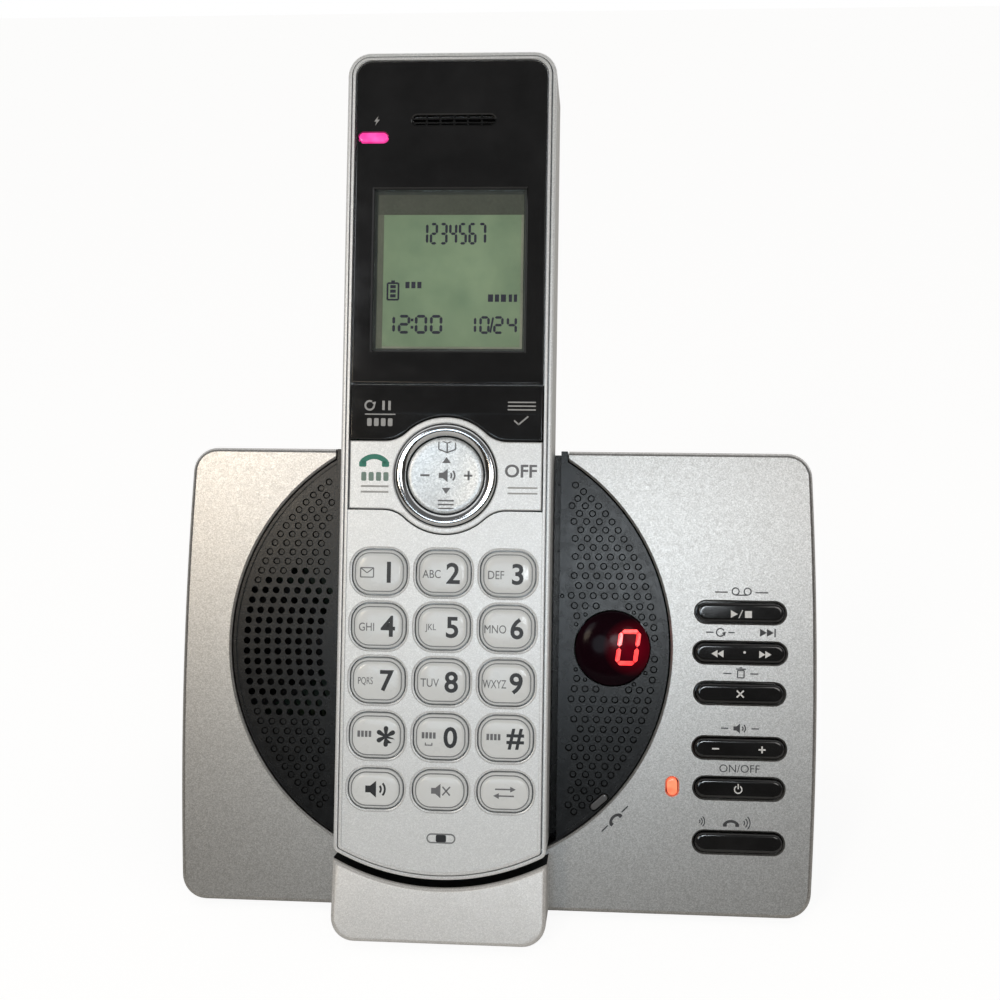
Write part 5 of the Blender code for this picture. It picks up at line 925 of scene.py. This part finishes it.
def swellEdge(half, height, radius, fillet, steps=10):
    # upper edge of a band that swells round the navigation pad, right to left
    filletV = height + fillet
    filletU = math.sqrt((radius + fillet) ** 2 - filletV ** 2)
    swing = math.degrees(math.atan2(filletV, filletU))
    right = [(half, height)] + arcPoints((filletU, filletV), fillet, 270, 180 + swing, steps)
    crown = arcPoints((0, 0), radius, swing, 180 - swing, steps * 2)[1:-1]
    return [(u, band["middle"] + v) for u, v in right + crown + [(-u, v) for u, v in reversed(right)]]


def talkOutline(grow=0.0):
    upper = swellEdge(band["half"] + grow, band["height"] + grow, band["swell"] + grow, band["fillet"] - grow)
    return upper + [(-u, band["middle"] * 2 - v) for u, v in upper]


def softOutline(grow=0.0):
    lower = swellEdge(band["half"] + grow, band["height"] + 0.3 - grow, band["swell"] + 0.3 - grow,
                      band["fillet"] - 0.3 + grow)
    top = band["softTop"] + grow
    return [(band["half"] + grow, top), (-band["half"] - grow, top)] + lower[::-1]


def faceplateOutline(inset=0.0):
    half, top, bottom = band["half"] - inset, phone["top"] - 2.0 - inset, 57.1 + inset
    corner = phone["corner"] - 1.7 - inset
    return ([(half, bottom)] + arcPoints((half - corner, top - corner), corner, 0, 90, 10)
            + arcPoints((-half + corner, top - corner), corner, 90, 180, 10) + [(-half, bottom)])


def makeFrame():
    back, front, panel = phone["frameBack"], phone["front"], phone["panel"]
    frameBody = slab("handsetFrame", phoneOutline(1.1), back, front, 0.18, 2)
    carve(frameBody, slab("field", phoneOutline(1.7), panel, front + 3, bottomRound=0.12, steps=1))
    carve(frameBody, slab("plateRoom", faceplateOutline(-fit), panel - 1.8, front + 3))
    carve(frameBody, slab("softRoom", softOutline(fit), back - 3, panel + 0.3))
    carve(frameBody, slab("talkRoom", talkOutline(fit), back - 3, panel + 0.3))
    wells, flares = [], []
    for u, v, height in keyPlaces.values():
        wells.append(slab("well", roundBox((u, v), 12.2, height + 0.6, 4.1, 8), back - 3, front + 3))
        flares.append(slab("flare", roundBox((u, v), 13.1, height + 1.5, 4.55, 8), panel - 0.42, front + 3,
                           bottomRound=0.42, steps=2))
    wells.append(slab("mic", pillPoints(phone["mic"], 5.8, 1.8), panel - 1.3, front + 3))
    wells.append(slab("micHole", boxPoints(-0.2, -40.3, 1.0, -39.3), back - 3, panel))
    wells.append(slab("lcdRoom", windowBox(1.1), back - 3, panel))
    carve(frameBody, group("wells", wells + slotsAt(back - 3, panel)), group("flares", flares))
    finishPiece(frameBody, pearlPaint, "handset", "pearl_plastic", "handset_frame")


def makeFaceplate():
    panel = phone["panel"]
    sheet = slab("handsetFaceplate", faceplateOutline(), panel - 1.5, panel, 0.22, 3)
    carve(sheet, slab("window", windowBox(fit), 9, panel + 3))
    carve(sheet, slab("windowLip", windowBox(0.65), panel - 0.3, panel + 3, bottomRound=0.3, steps=1))
    carve(sheet, group("holes", slotsAt(9, panel + 3)))
    dish = pillPoints(phone["ear"], 18.6, 2.8)
    carve(sheet, slab("dish", dish, panel - 0.25, panel + 3, bottomRound=0.25, steps=1))
    finishPiece(sheet, pianoBlack, "handset", "gloss_black", "handset_faceplate")
    bars = [slab("bar", boxPoints(-8.9, v - 0.16, 9.9, v + 0.16), 9.6, 11.3) for v in (113.75, 114.65)]
    bars += [slab("rib", boxPoints(u - 0.2, 113.0, u + 0.2, 115.4), 9.6, 10.9) for u in (-5.5, -2.5, 0.5, 3.5, 6.5)]
    grill = group("earpieceGrill", bars)
    paintAndPlace(grill, charcoal, "handset", "gloss_black")


makeShell()
makeBatteryCover()
makeFrame()
makeFaceplate()
print("handset body ready")


# controls: keys, bands, pad, buttons and rockers

def makeKey(name, u, v, height):
    back = phone["frameBack"]
    width, corner = keypad["width"], keypad["corner"]

    def outlineAt(inset):
        return roundBox((u, v), width - inset * 2, height - inset * 2, max(corner - inset, 0.6), 8)

    face = keypad["face"]
    section = [(1.9, 7.8), (1.9, back - 1.1), (-0.8, back - 1.1), (-0.8, back - 0.3), (0, back - 0.3)]
    section += [(inset, face - 0.95 * (1 - inset / 1.5) ** 2 - 0.06) for inset in (0, 0.15, 0.35, 0.6, 0.9, 1.2, 1.5)]
    section += [(2.4, face - 0.02), (3.3, face)]
    key = stack(name.replace("_", "") + "Cap", [(outlineAt(inset), level) for inset, level in section])
    finishPiece(key, keyPlastic, name, "key_plastic", name, angle=50)
    # a thin dark ring just inside the key's edge: painted shade along its bevel
    low = face - 0.45
    rim = slab(name.replace("_", "") + "Rim", outlineAt(0.52), low, face - 0.3)
    carve(rim, slab("inside", outlineAt(0.80), low - 1, face + 1))
    paintAndPlace(rim, paintedEdgeShade, name, "key_plastic")


def makeBands():
    panel, low = phone["panel"], phone["panel"] - band["thick"]
    soft = slab("softKeyBand", softOutline(), low, panel, 0.25, 3)
    carve(soft, slab("line", boxPoints(-30, 50.42, 30, 50.58), panel - 0.08, panel + 2))
    finishPiece(soft, pianoBlack, "soft_keys", "gloss_black", "soft_key_band")
    talk = slab("talkOffBand", talkOutline(), low, panel, 0.3, 3)
    centre = (0, band["middle"])
    carve(talk, slab("hole", ringPoints(centre, 11.2, 96), low - 2, panel + 2))
    carve(talk, slab("flare", ringPoints(centre, 11.45, 96), panel - 0.25, panel + 2, bottomRound=0.25, steps=1))
    finishPiece(talk, pearlPaint, "talk_off", "pearl_plastic", "talk_off_band")


def makeNavigation():
    panel = phone["panel"]
    centre = (0, band["middle"])
    section = [(10.9, 6.7 - panel), (10.9, 0.0), (10.84, 0.16), (10.7, 0.32), (10.45, 0.44), (10.1, 0.5), (9.7, 0.49),
               (9.3, 0.4), (8.95, 0.24), (8.68, 0.06), (8.55, -0.1), (8.5, -0.3), (8.45, -0.31)]
    ring = stack("navRing", [(ringPoints(centre, radius, 96), panel + rise) for radius, rise in section])
    carve(ring, slab("bore", ringPoints(centre, 8.5, 96), 5, panel + 2))
    finishPiece(ring, chromePlate, "handset", "chrome", "nav_ring", angle=40)
    section = [(0, 2.6), (0, 0.5), (0.05, 0.33), (0.15, 0.2), (0.3, 0.11), (0.5, 0.06), (1.2, 0.1), (2.5, 0.2),
               (4.5, 0.28), (6.5, 0.3)]
    pad = stack("navPad", [(ringPoints(centre, 8.2 - inset, 96), panel - drop) for inset, drop in section])
    finishPiece(pad, padSilver, "navigation", "pearl_plastic", "nav_pad", angle=60)


def makeButton(name, v):
    rocker = name.endswith("rocker")
    length, width, stand = buttons["rocker"] if rocker else buttons["length"], buttons["width"], buttons["stand"]
    section = [(0, -3.3)] if rocker else [(-0.6, -3.3), (-0.6, -2.5), (0, -2.5)]
    section += [(inset, stand - drop) for inset, drop in ((0, 0.62), (0.03, 0.42), (0.12, 0.22), (0.28, 0.08),
                                                          (0.5, 0.01), (0.9, 0.0))]
    cap = stack(name.split("_")[0] + ("Rocker" if rocker else "Button"), [
        (pillPoints((buttons["middle"], v), length - inset * 2, width - inset * 2, steps=18), level)
        for inset, level in section])
    if rocker:
        weld(cap, slab("tab", roundBox((buttons["middle"], v), 3.0, width + 1.8, 0.3, 2), -3.3, -2.5))
    for side in ((-1, 1) if rocker else (0,)):
        weld(cap, slab("stem", ringPoints((buttons["middle"] + side * 5.5, v), 1.2, 20), -6.7, -3.0))
    finishPiece(cap, pianoBlack, name.rsplit("_", 1)[0], "gloss_black", name, angle=50)


def makeWindow():
    window = slab("lcdGlass", windowBox(), glass["back"], glass["front"], 0.12, 2)
    finishPiece(window, clearWindow, "handset", "clear_window", "lcd_window")
    mask = slab("lcdBezel", windowBox(0.4), 10.21, 10.45)
    carve(mask, slab("sight", boxPoints(-15.85, 64.75, 15.95, 98.3), 9, 12))
    paintAndPlace(mask, bezelGrey, "handset", "lcd_green")
    glow = slab("chargeLamp", pillPoints(phone["lamp"], 6.2, 2.0, 0, 12), 5.8, 12.25, 0.22, 3)
    finishPiece(glow, pinkGlow, "handset", "pink_light", "charge_light")


for keyName, (u, v, height) in keyPlaces.items():
    makeKey(keyName, u, v, height)
makeBands()
makeNavigation()
for buttonName, v in buttons["heights"].items():
    makeButton(buttonName, v)
makeWindow()
print("controls ready")


# lettering and signs: digits, key letters and plain signs, each a thin solid on its surface, with marks of painted
# shade and painted highlight beside them

def linePoints(start, end, width):
    along = math.atan2(end[1] - start[1], end[0] - start[0])
    across = (-math.sin(along) * width / 2, math.cos(along) * width / 2)
    return [(start[0] - across[0], start[1] - across[1]), (end[0] - across[0], end[1] - across[1]),
            (end[0] + across[0], end[1] + across[1]), (start[0] + across[0], start[1] + across[1])]


def lines(width, *ends):
    # straight strokes of one width, each from u, v to u, v
    return [linePoints(place[:2], place[2:], width) for place in ends]


def bandArc(centre, radius, width, start, end, steps=20):
    return (arcPoints(centre, radius + width / 2, start, end, steps)
            + arcPoints(centre, radius - width / 2, end, start, steps))


def frameLines(left, low, right, high, width):
    return lines(width, (left, low, right, low), (right, low, right, high), (right, high, left, high),
                 (left, high, left, low))


def shortBars(place, pitch, width, height, corner):
    return [roundBox((place[0] + k * pitch, place[1]), width, height, corner, 3) for k in range(4)]


def mark(name, outlines, level, colour, body, slot, thick=0.03):
    made = group(name, [slab("stroke", outline, level - 0.02, level + thick) for outline in outlines])
    paintAndPlace(made, colour, body, slot)


def letter(text, centre, height, level, colour, body, slot, heavy=0.0, wide=1.0):
    bpy.ops.object.select_all(action="DESELECT")
    bpy.ops.object.text_add()
    word = bpy.context.object
    word.data.body = text
    word.data.extrude = 0.02
    word.data.offset = heavy
    word.data.resolution_u = 4
    word.data.align_x = "CENTER"
    word.data.align_y = "CENTER"
    bpy.ops.object.convert(target="MESH")
    word = bpy.context.object
    word.name = "text" + "".join(c for c in text.title() if c.isalnum())
    xs = [vert.co.x for vert in word.data.vertices]
    ys = [vert.co.y for vert in word.data.vertices]
    size = height * mm / (max(ys) - min(ys))
    middle = ((max(xs) + min(xs)) / 2, (max(ys) + min(ys)) / 2)
    for vert in word.data.vertices:
        vert.co = ((vert.co.x - middle[0]) * size * wide, (vert.co.y - middle[1]) * size,
                   (0.03 if vert.co.z > 0 else -0.02) * mm)
    tidyMesh(word, 0.5)
    word.matrix_world = Matrix.Translation((centre[0] * mm, centre[1] * mm, level * mm))
    choose(word)
    bpy.ops.object.transform_apply(location=True, rotation=True, scale=True)
    paintAndPlace(word, colour, body, slot)


def arrow(tip, width, height, way=0):
    return turnPoints([(width / 2, 0), (-width / 2, height / 2), (-width / 2, -height / 2)], way, tip)


def receiver(centre, size):
    # a small telephone receiver: a bar with two turned-down ends
    bar = bandArc((0, -size * 0.55), size * 0.62, size * 0.2, 40, 140, 10)
    left = roundBox((-size * 0.44, -size * 0.22), size * 0.28, size * 0.22, size * 0.05, 3)
    right = roundBox((size * 0.44, -size * 0.22), size * 0.28, size * 0.22, size * 0.05, 3)
    return [turnPoints(shape, 0, centre) for shape in (bar, left, right)]


def speakerSign(u, v, size):
    horn = [(-0.5, -0.17), (-0.25, -0.17), (0.05, -0.42), (0.05, 0.42), (-0.25, 0.17), (-0.5, 0.17)]
    waves = [bandArc((0.05, 0), radius, 0.1, -42, 42, 8) for radius in (0.25, 0.45)]
    return [[(u + x * size, v + y * size) for x, y in shape] for shape in [horn] + waves]


keyLetters = {"key_2": "ABC", "key_3": "DEF", "key_4": "GHI", "key_5": "JKL", "key_6": "MNO", "key_7": "PQRS",
              "key_8": "TUV", "key_9": "WXYZ"}


def keySigns():
    top = keypad["face"]
    for name, (u, v, _) in keyPlaces.items():
        sign = {"star": "*", "hash": "#"}.get(name[4:], name[4:])
        onKey = (name, "key_plastic")
        if len(sign) == 1:
            drop = 0.1 if sign == "*" else 0
            letter(sign, (u + 2.1, v - drop), 4.5 if sign.isdigit() else 4.4, top, keyInkAndShade, *onKey, heavy=0.02)
        if name in keyLetters:
            narrow = 0.66 if len(keyLetters[name]) > 3 else 0.82
            letter(keyLetters[name], (u - 2.5, v - 0.2), 1.75, top - 0.02, paleInk, *onKey, wide=narrow)
        if sign in "*0#":
            bars = [boxPoints(u - 4.0 + 0.8 * k, v - 0.3, u - 3.45 + 0.8 * k, v + 1.0) for k in range(4)]
            mark(name + "Bars", bars, top, paleInk, *onKey)
    envelope = frameLines(-4.0, -1.1, -1.2, 0.9, 0.22) + lines(0.2, (-4.0, 0.9, -2.6, -0.2), (-1.2, 0.9, -2.6, -0.2))
    space = lines(0.22, (-3.3, -1.7, -1.7, -1.7), (-3.2, -1.7, -3.2, -1.2), (-1.8, -1.7, -1.8, -1.2))
    mute = speakerSign(0, 0, 3.6)[:1] + lines(0.3, (0.6, -0.9, 2.2, 0.9), (0.6, 0.9, 2.2, -0.9))
    pair = lines(0.3, (-2.0, 0.7, 1.4, 0.7)) + [arrow((1.8, 0.7), 1.2, 1.2)]
    pair += lines(0.3, (-1.4, -0.7, 2.0, -0.7)) + [arrow((-1.8, -0.7), 1.2, 1.2, 180)]
    for key, name, shapes, colour in (
            ("key_1", "envelopeSign", envelope, paleInk), ("key_0", "spaceSign", space, paleInk),
            ("key_speaker", "speakerSign", speakerSign(0, 0, 4.2), keyInkAndShade), ("key_mute", "muteSign", mute, greyInk),
            ("key_intercom", "intercomSign", pair, greyInk)):
        mark(name, [turnPoints(shape, 0, keyPlaces[key][:2]) for shape in shapes], top, colour, key, "key_plastic")


def handsetSigns():
    panel = phone["panel"]
    onTalk, onSoft = ("talk_off", "pearl_plastic"), ("soft_keys", "gloss_black")
    mark("talkSign", receiver((-15.4, 40.8), 5.6), panel, greenInk, *onTalk)
    letter("OFF", (16.2, 38.4), 2.8, panel, greyInk, *onTalk, heavy=0.02, wide=1.05)
    mark("talkBars", shortBars((-17.6, 36.9), 1.6, 1.1, 1.9, 0.3), panel, greenGreyInk, *onTalk)
    mark("talkLines", lines(0.4, *((-18.2, v, -12.2, v) for v in (33.6, 34.8))), panel, faintInk, *onTalk)
    mark("offLines", lines(0.35, *((13.4, v, 19.8, v) for v in (33.6, 34.8))), panel, faintInk, *onTalk)
    redial = [bandArc((-16.6, 52.2), 0.95, 0.4, 60, 360, 18), arrow((-15.6, 52.5), 0.9, 0.9, -80)]
    redial += lines(0.55, (-13.6, 51.2, -13.6, 53.2), (-12.3, 51.2, -12.3, 53.2))
    redial += lines(0.26, (-17.6, 50.3, -11.0, 50.3)) + shortBars((-16.6, 48.6), 1.5, 1.0, 1.7, 0.25)
    mark("leftSoftSign", redial, panel, softInk, *onSoft)
    menu = lines(0.28, *((13.2, 53.1 - k * 0.8, 19.2, 53.1 - k * 0.8) for k in range(3)))
    menu += lines(0.32, (14.6, 49.2, 15.6, 48.3), (15.5, 48.3, 17.6, 50.1))
    mark("rightSoftSign", menu, panel, softInk, *onSoft)
    book = []
    for side in (-1, 1):
        leaf = [(0.3, 42.2), (0.3 + side * 1.8, 42.9), (0.3 + side * 1.8, 45.0), (0.3, 44.2)]
        book += lines(0.26, *(leaf[k] + leaf[k - 1] for k in range(4)))
    volume = speakerSign(0.3, 37.3, 3.4) + lines(0.45, (-5.4, 37.3, -3.4, 37.3), (4.0, 37.3, 6.0, 37.3),
                                                 (5.0, 36.3, 5.0, 38.3))
    rows = lines(0.32, *((-1.5, 31.9 - k * 0.85, 1.9, 31.9 - k * 0.85) for k in range(3)))
    for name, shapes, dip in (("bookSign", book, 0.11), ("upSign", [arrow((0.2, 40.6), 1.3, 1.9, 90)], 0.25),
                              ("downSign", [arrow((0.2, 34.0), 1.3, 1.9, 270)], 0.25),
                              ("padSpeakerSign", volume, 0.22), ("listSign", rows, 0.11)):
        mark(name, shapes, panel - dip, greyInk, "navigation", "pearl_plastic")
    # a dark ring and a dark patch at the mic opening: painted shade
    rim = slab("micRimShade", pillPoints(phone["mic"], 6.2, 2.1), panel - 0.02, panel + 0.02)
    carve(rim, slab("inside", pillPoints(phone["mic"], 5.6, 1.5), 9, 14))
    paintAndPlace(rim, paintedEdgeShade, "handset", "pearl_plastic")
    mark("micHoleShade", [roundBox(phone["mic"], 2.2, 1.5, 0.3, 3)], panel, keyInkAndShade, "handset", "pearl_plastic")
    bolt = [(-15.9, 115.1), (-16.8, 113.9), (-16.3, 113.9), (-16.6, 113.0), (-15.6, 114.3), (-16.15, 114.3)]
    mark("chargeSign", [bolt], panel, softInk, "handset", "gloss_black")


def lcdSigns():
    onDisplay = ("handset", "lcd_green")
    strokes = []
    for text, left, width, height, stroke in (("12", -14.1, 2.1, 3.5, 0.62), ("00", -7.1, 2.1, 3.5, 0.62),
                                              ("10", 4.0, 1.7, 3.3, 0.55), ("24", 9.9, 1.7, 3.3, 0.55)):
        for k, digit in enumerate(text):
            strokes += segments(digit, left + k * (width + 1.2), 68.3, width, height, stroke)
    strokes += [boxPoints(-8.3, v, -7.7, v + 0.6) for v in (69.1, 70.7)] + lines(0.42, (9.0, 68.3, 9.6, 71.6))
    strokes += [boxPoints(8.4 + place, 75.0, 8.4 + place + width, 76.6)
                for place, width in ((0, 1.1), (1.5, 0.9), (2.8, 1.1), (4.5, 0.7), (5.6, 0.7))]
    for k, digit in enumerate("1234567"):
        strokes += segments(digit, -6.3 + k * 2.1, 87.7, 1.25, 4.2, 0.55)
    strokes += frameLines(-13.5, 75.4, -11.1, 79.0, 0.4) + [boxPoints(-12.7, 79.0, -11.9, 79.6)]
    strokes += [boxPoints(-12.9, v, -11.7, v + 0.7) for v in (75.9, 76.9, 77.9)]
    strokes += [boxPoints(left, 77.9, left + 0.9, 79.3) for left in (-9.6, -8.3, -7.0)]
    mark("lcdCharacters", strokes, 10.2, lcdInk, *onDisplay, 0.02)
    # painted shadow along the top and the left of the window's recess, and painted highlight along its right and
    # bottom
    left, right = 15.9, 15.4
    for name, shapes, colour in (
            ("windowShade", [boxPoints(-left, 93.9, 16.1, 98.9)], shadeInk),
            ("windowSideShade", [boxPoints(-left, 64.6, -14.5, 93.9)], sideShade),
            ("windowRimHighlight", [boxPoints(right, 64.6, 16.0, 93.9), boxPoints(-14.5, 64.6, right, 65.2)], paintedRimHighlight)):
        mark(name, shapes, 10.28, colour, *onDisplay, 0.02)


def seamShade():
    # a dark strip under the gap between the faceplate and the soft-key band: painted shade
    strip = [boxPoints(-20.6, 56.92, 20.6, 57.6)]
    mark("bandSeamShade", strip, phone["panel"] - 1.8, keyInkAndShade, "handset", "gloss_black")


def buttonSigns():
    playStop = [arrow((62.6, 8.4), 1.5, 1.7), linePoints((63.6, 7.5), (64.4, 9.3), 0.18),
                boxPoints(64.9, 7.6, 66.4, 9.1)]
    skip = [arrow((u, -0.3), 1.3, 1.6, way) for u, way in ((58.4, 180), (59.7, 180), (68.7, 0), (70.0, 0))]
    cross = lines(0.32, (63.3, -9.7, 64.8, -8.2), (63.3, -8.2, 64.8, -9.7))
    volume = lines(0.32, (58.1, -20.9, 59.6, -20.9), (68.1, -20.9, 69.6, -20.9), (68.85, -21.65, 68.85, -20.15))
    power = [bandArc((63.8, -29.6), 0.8, 0.24, 120, 420)] + lines(0.24, (63.8, -29.5, 63.8, -28.4))
    for name, shapes, body in (
            ("playStopSign", playStop, "play_stop"),
            ("repeatSkipSign", skip + [ringPoints((64.9, 0.1), 0.28, 12)], "repeat_skip"),
            ("deleteSign", cross, "delete"), ("volumeSign", volume, "volume"), ("answerSign", power, "answer")):
        mark(name, shapes, buttons["stand"], whiteInk, body, "gloss_black")


def plateSigns():
    onPlate = (0.0, labelInk, "base", "silver_paint")
    tapes = [bandArc((u, 13.3), 0.75, 0.26, 0, 360, 20) for u in (62.9, 65.5)]
    tapes += lines(0.26, (62.9, 12.5, 65.5, 12.5), (58.4, 13.1, 61.2, 13.1), (67.2, 13.1, 70.0, 13.1))
    mark("voicemailSign", tapes, *onPlate)
    again = [bandArc((59.7, 4.3), 0.85, 0.28, 30, 330, 18), arrow((60.55, 3.9), 0.9, 0.9, -75)]
    mark("repeatSign", again + lines(0.26, (56.6, 4.3, 58.2, 4.3), (61.4, 4.3, 62.8, 4.3)), *onPlate)
    skip = [arrow((u, 4.4), 1.5, 1.7) for u in (69.0, 70.5)]
    mark("skipSign", skip + lines(0.3, (71.5, 3.5, 71.5, 5.3)), *onPlate)
    paperBin = frameLines(63.5, -5.5, 64.9, -3.9, 0.26)
    paperBin += lines(0.26, (63.1, -3.6, 65.3, -3.6), (63.9, -3.3, 64.5, -3.3), (60.4, -4.6, 62.2, -4.6),
                      (66.2, -4.6, 68.0, -4.6))
    mark("binSign", paperBin, *onPlate)
    dashes = lines(0.26, (60.0, -16.5, 61.6, -16.5), (66.6, -16.5, 68.2, -16.5))
    mark("plateSpeakerSign", speakerSign(64.0, -16.5, 2.6) + dashes, *onPlate)
    letter("ON/OFF", (64.1, -25.2), 1.7, *onPlate)
    calls = [bandArc((64.6, -36.9), radius, 0.24, -45, 45, 8) for radius in (0.7, 1.3, 1.9)]
    mark("findSign", receiver((62.4, -36.8), 3.0) + calls, *onPlate)
    mark("waveSign", [bandArc((55.2, -36.8), radius, 0.24, -45, 45, 8) for radius in (0.5, 1.0, 1.5)], *onPlate)
    inUse = receiver((0, 0), 3.0) + lines(0.3, (2.1, -0.3, 4.0, -0.3), (-4.0, -0.3, -2.1, -0.3))
    mark("inUseSign", [turnPoints(shape, 45, (37.0, -36.6)) for shape in inUse], *onPlate)


keySigns()
handsetSigns()
lcdSigns()
seamShade()
buttonSigns()
plateSigns()
print("signs ready")
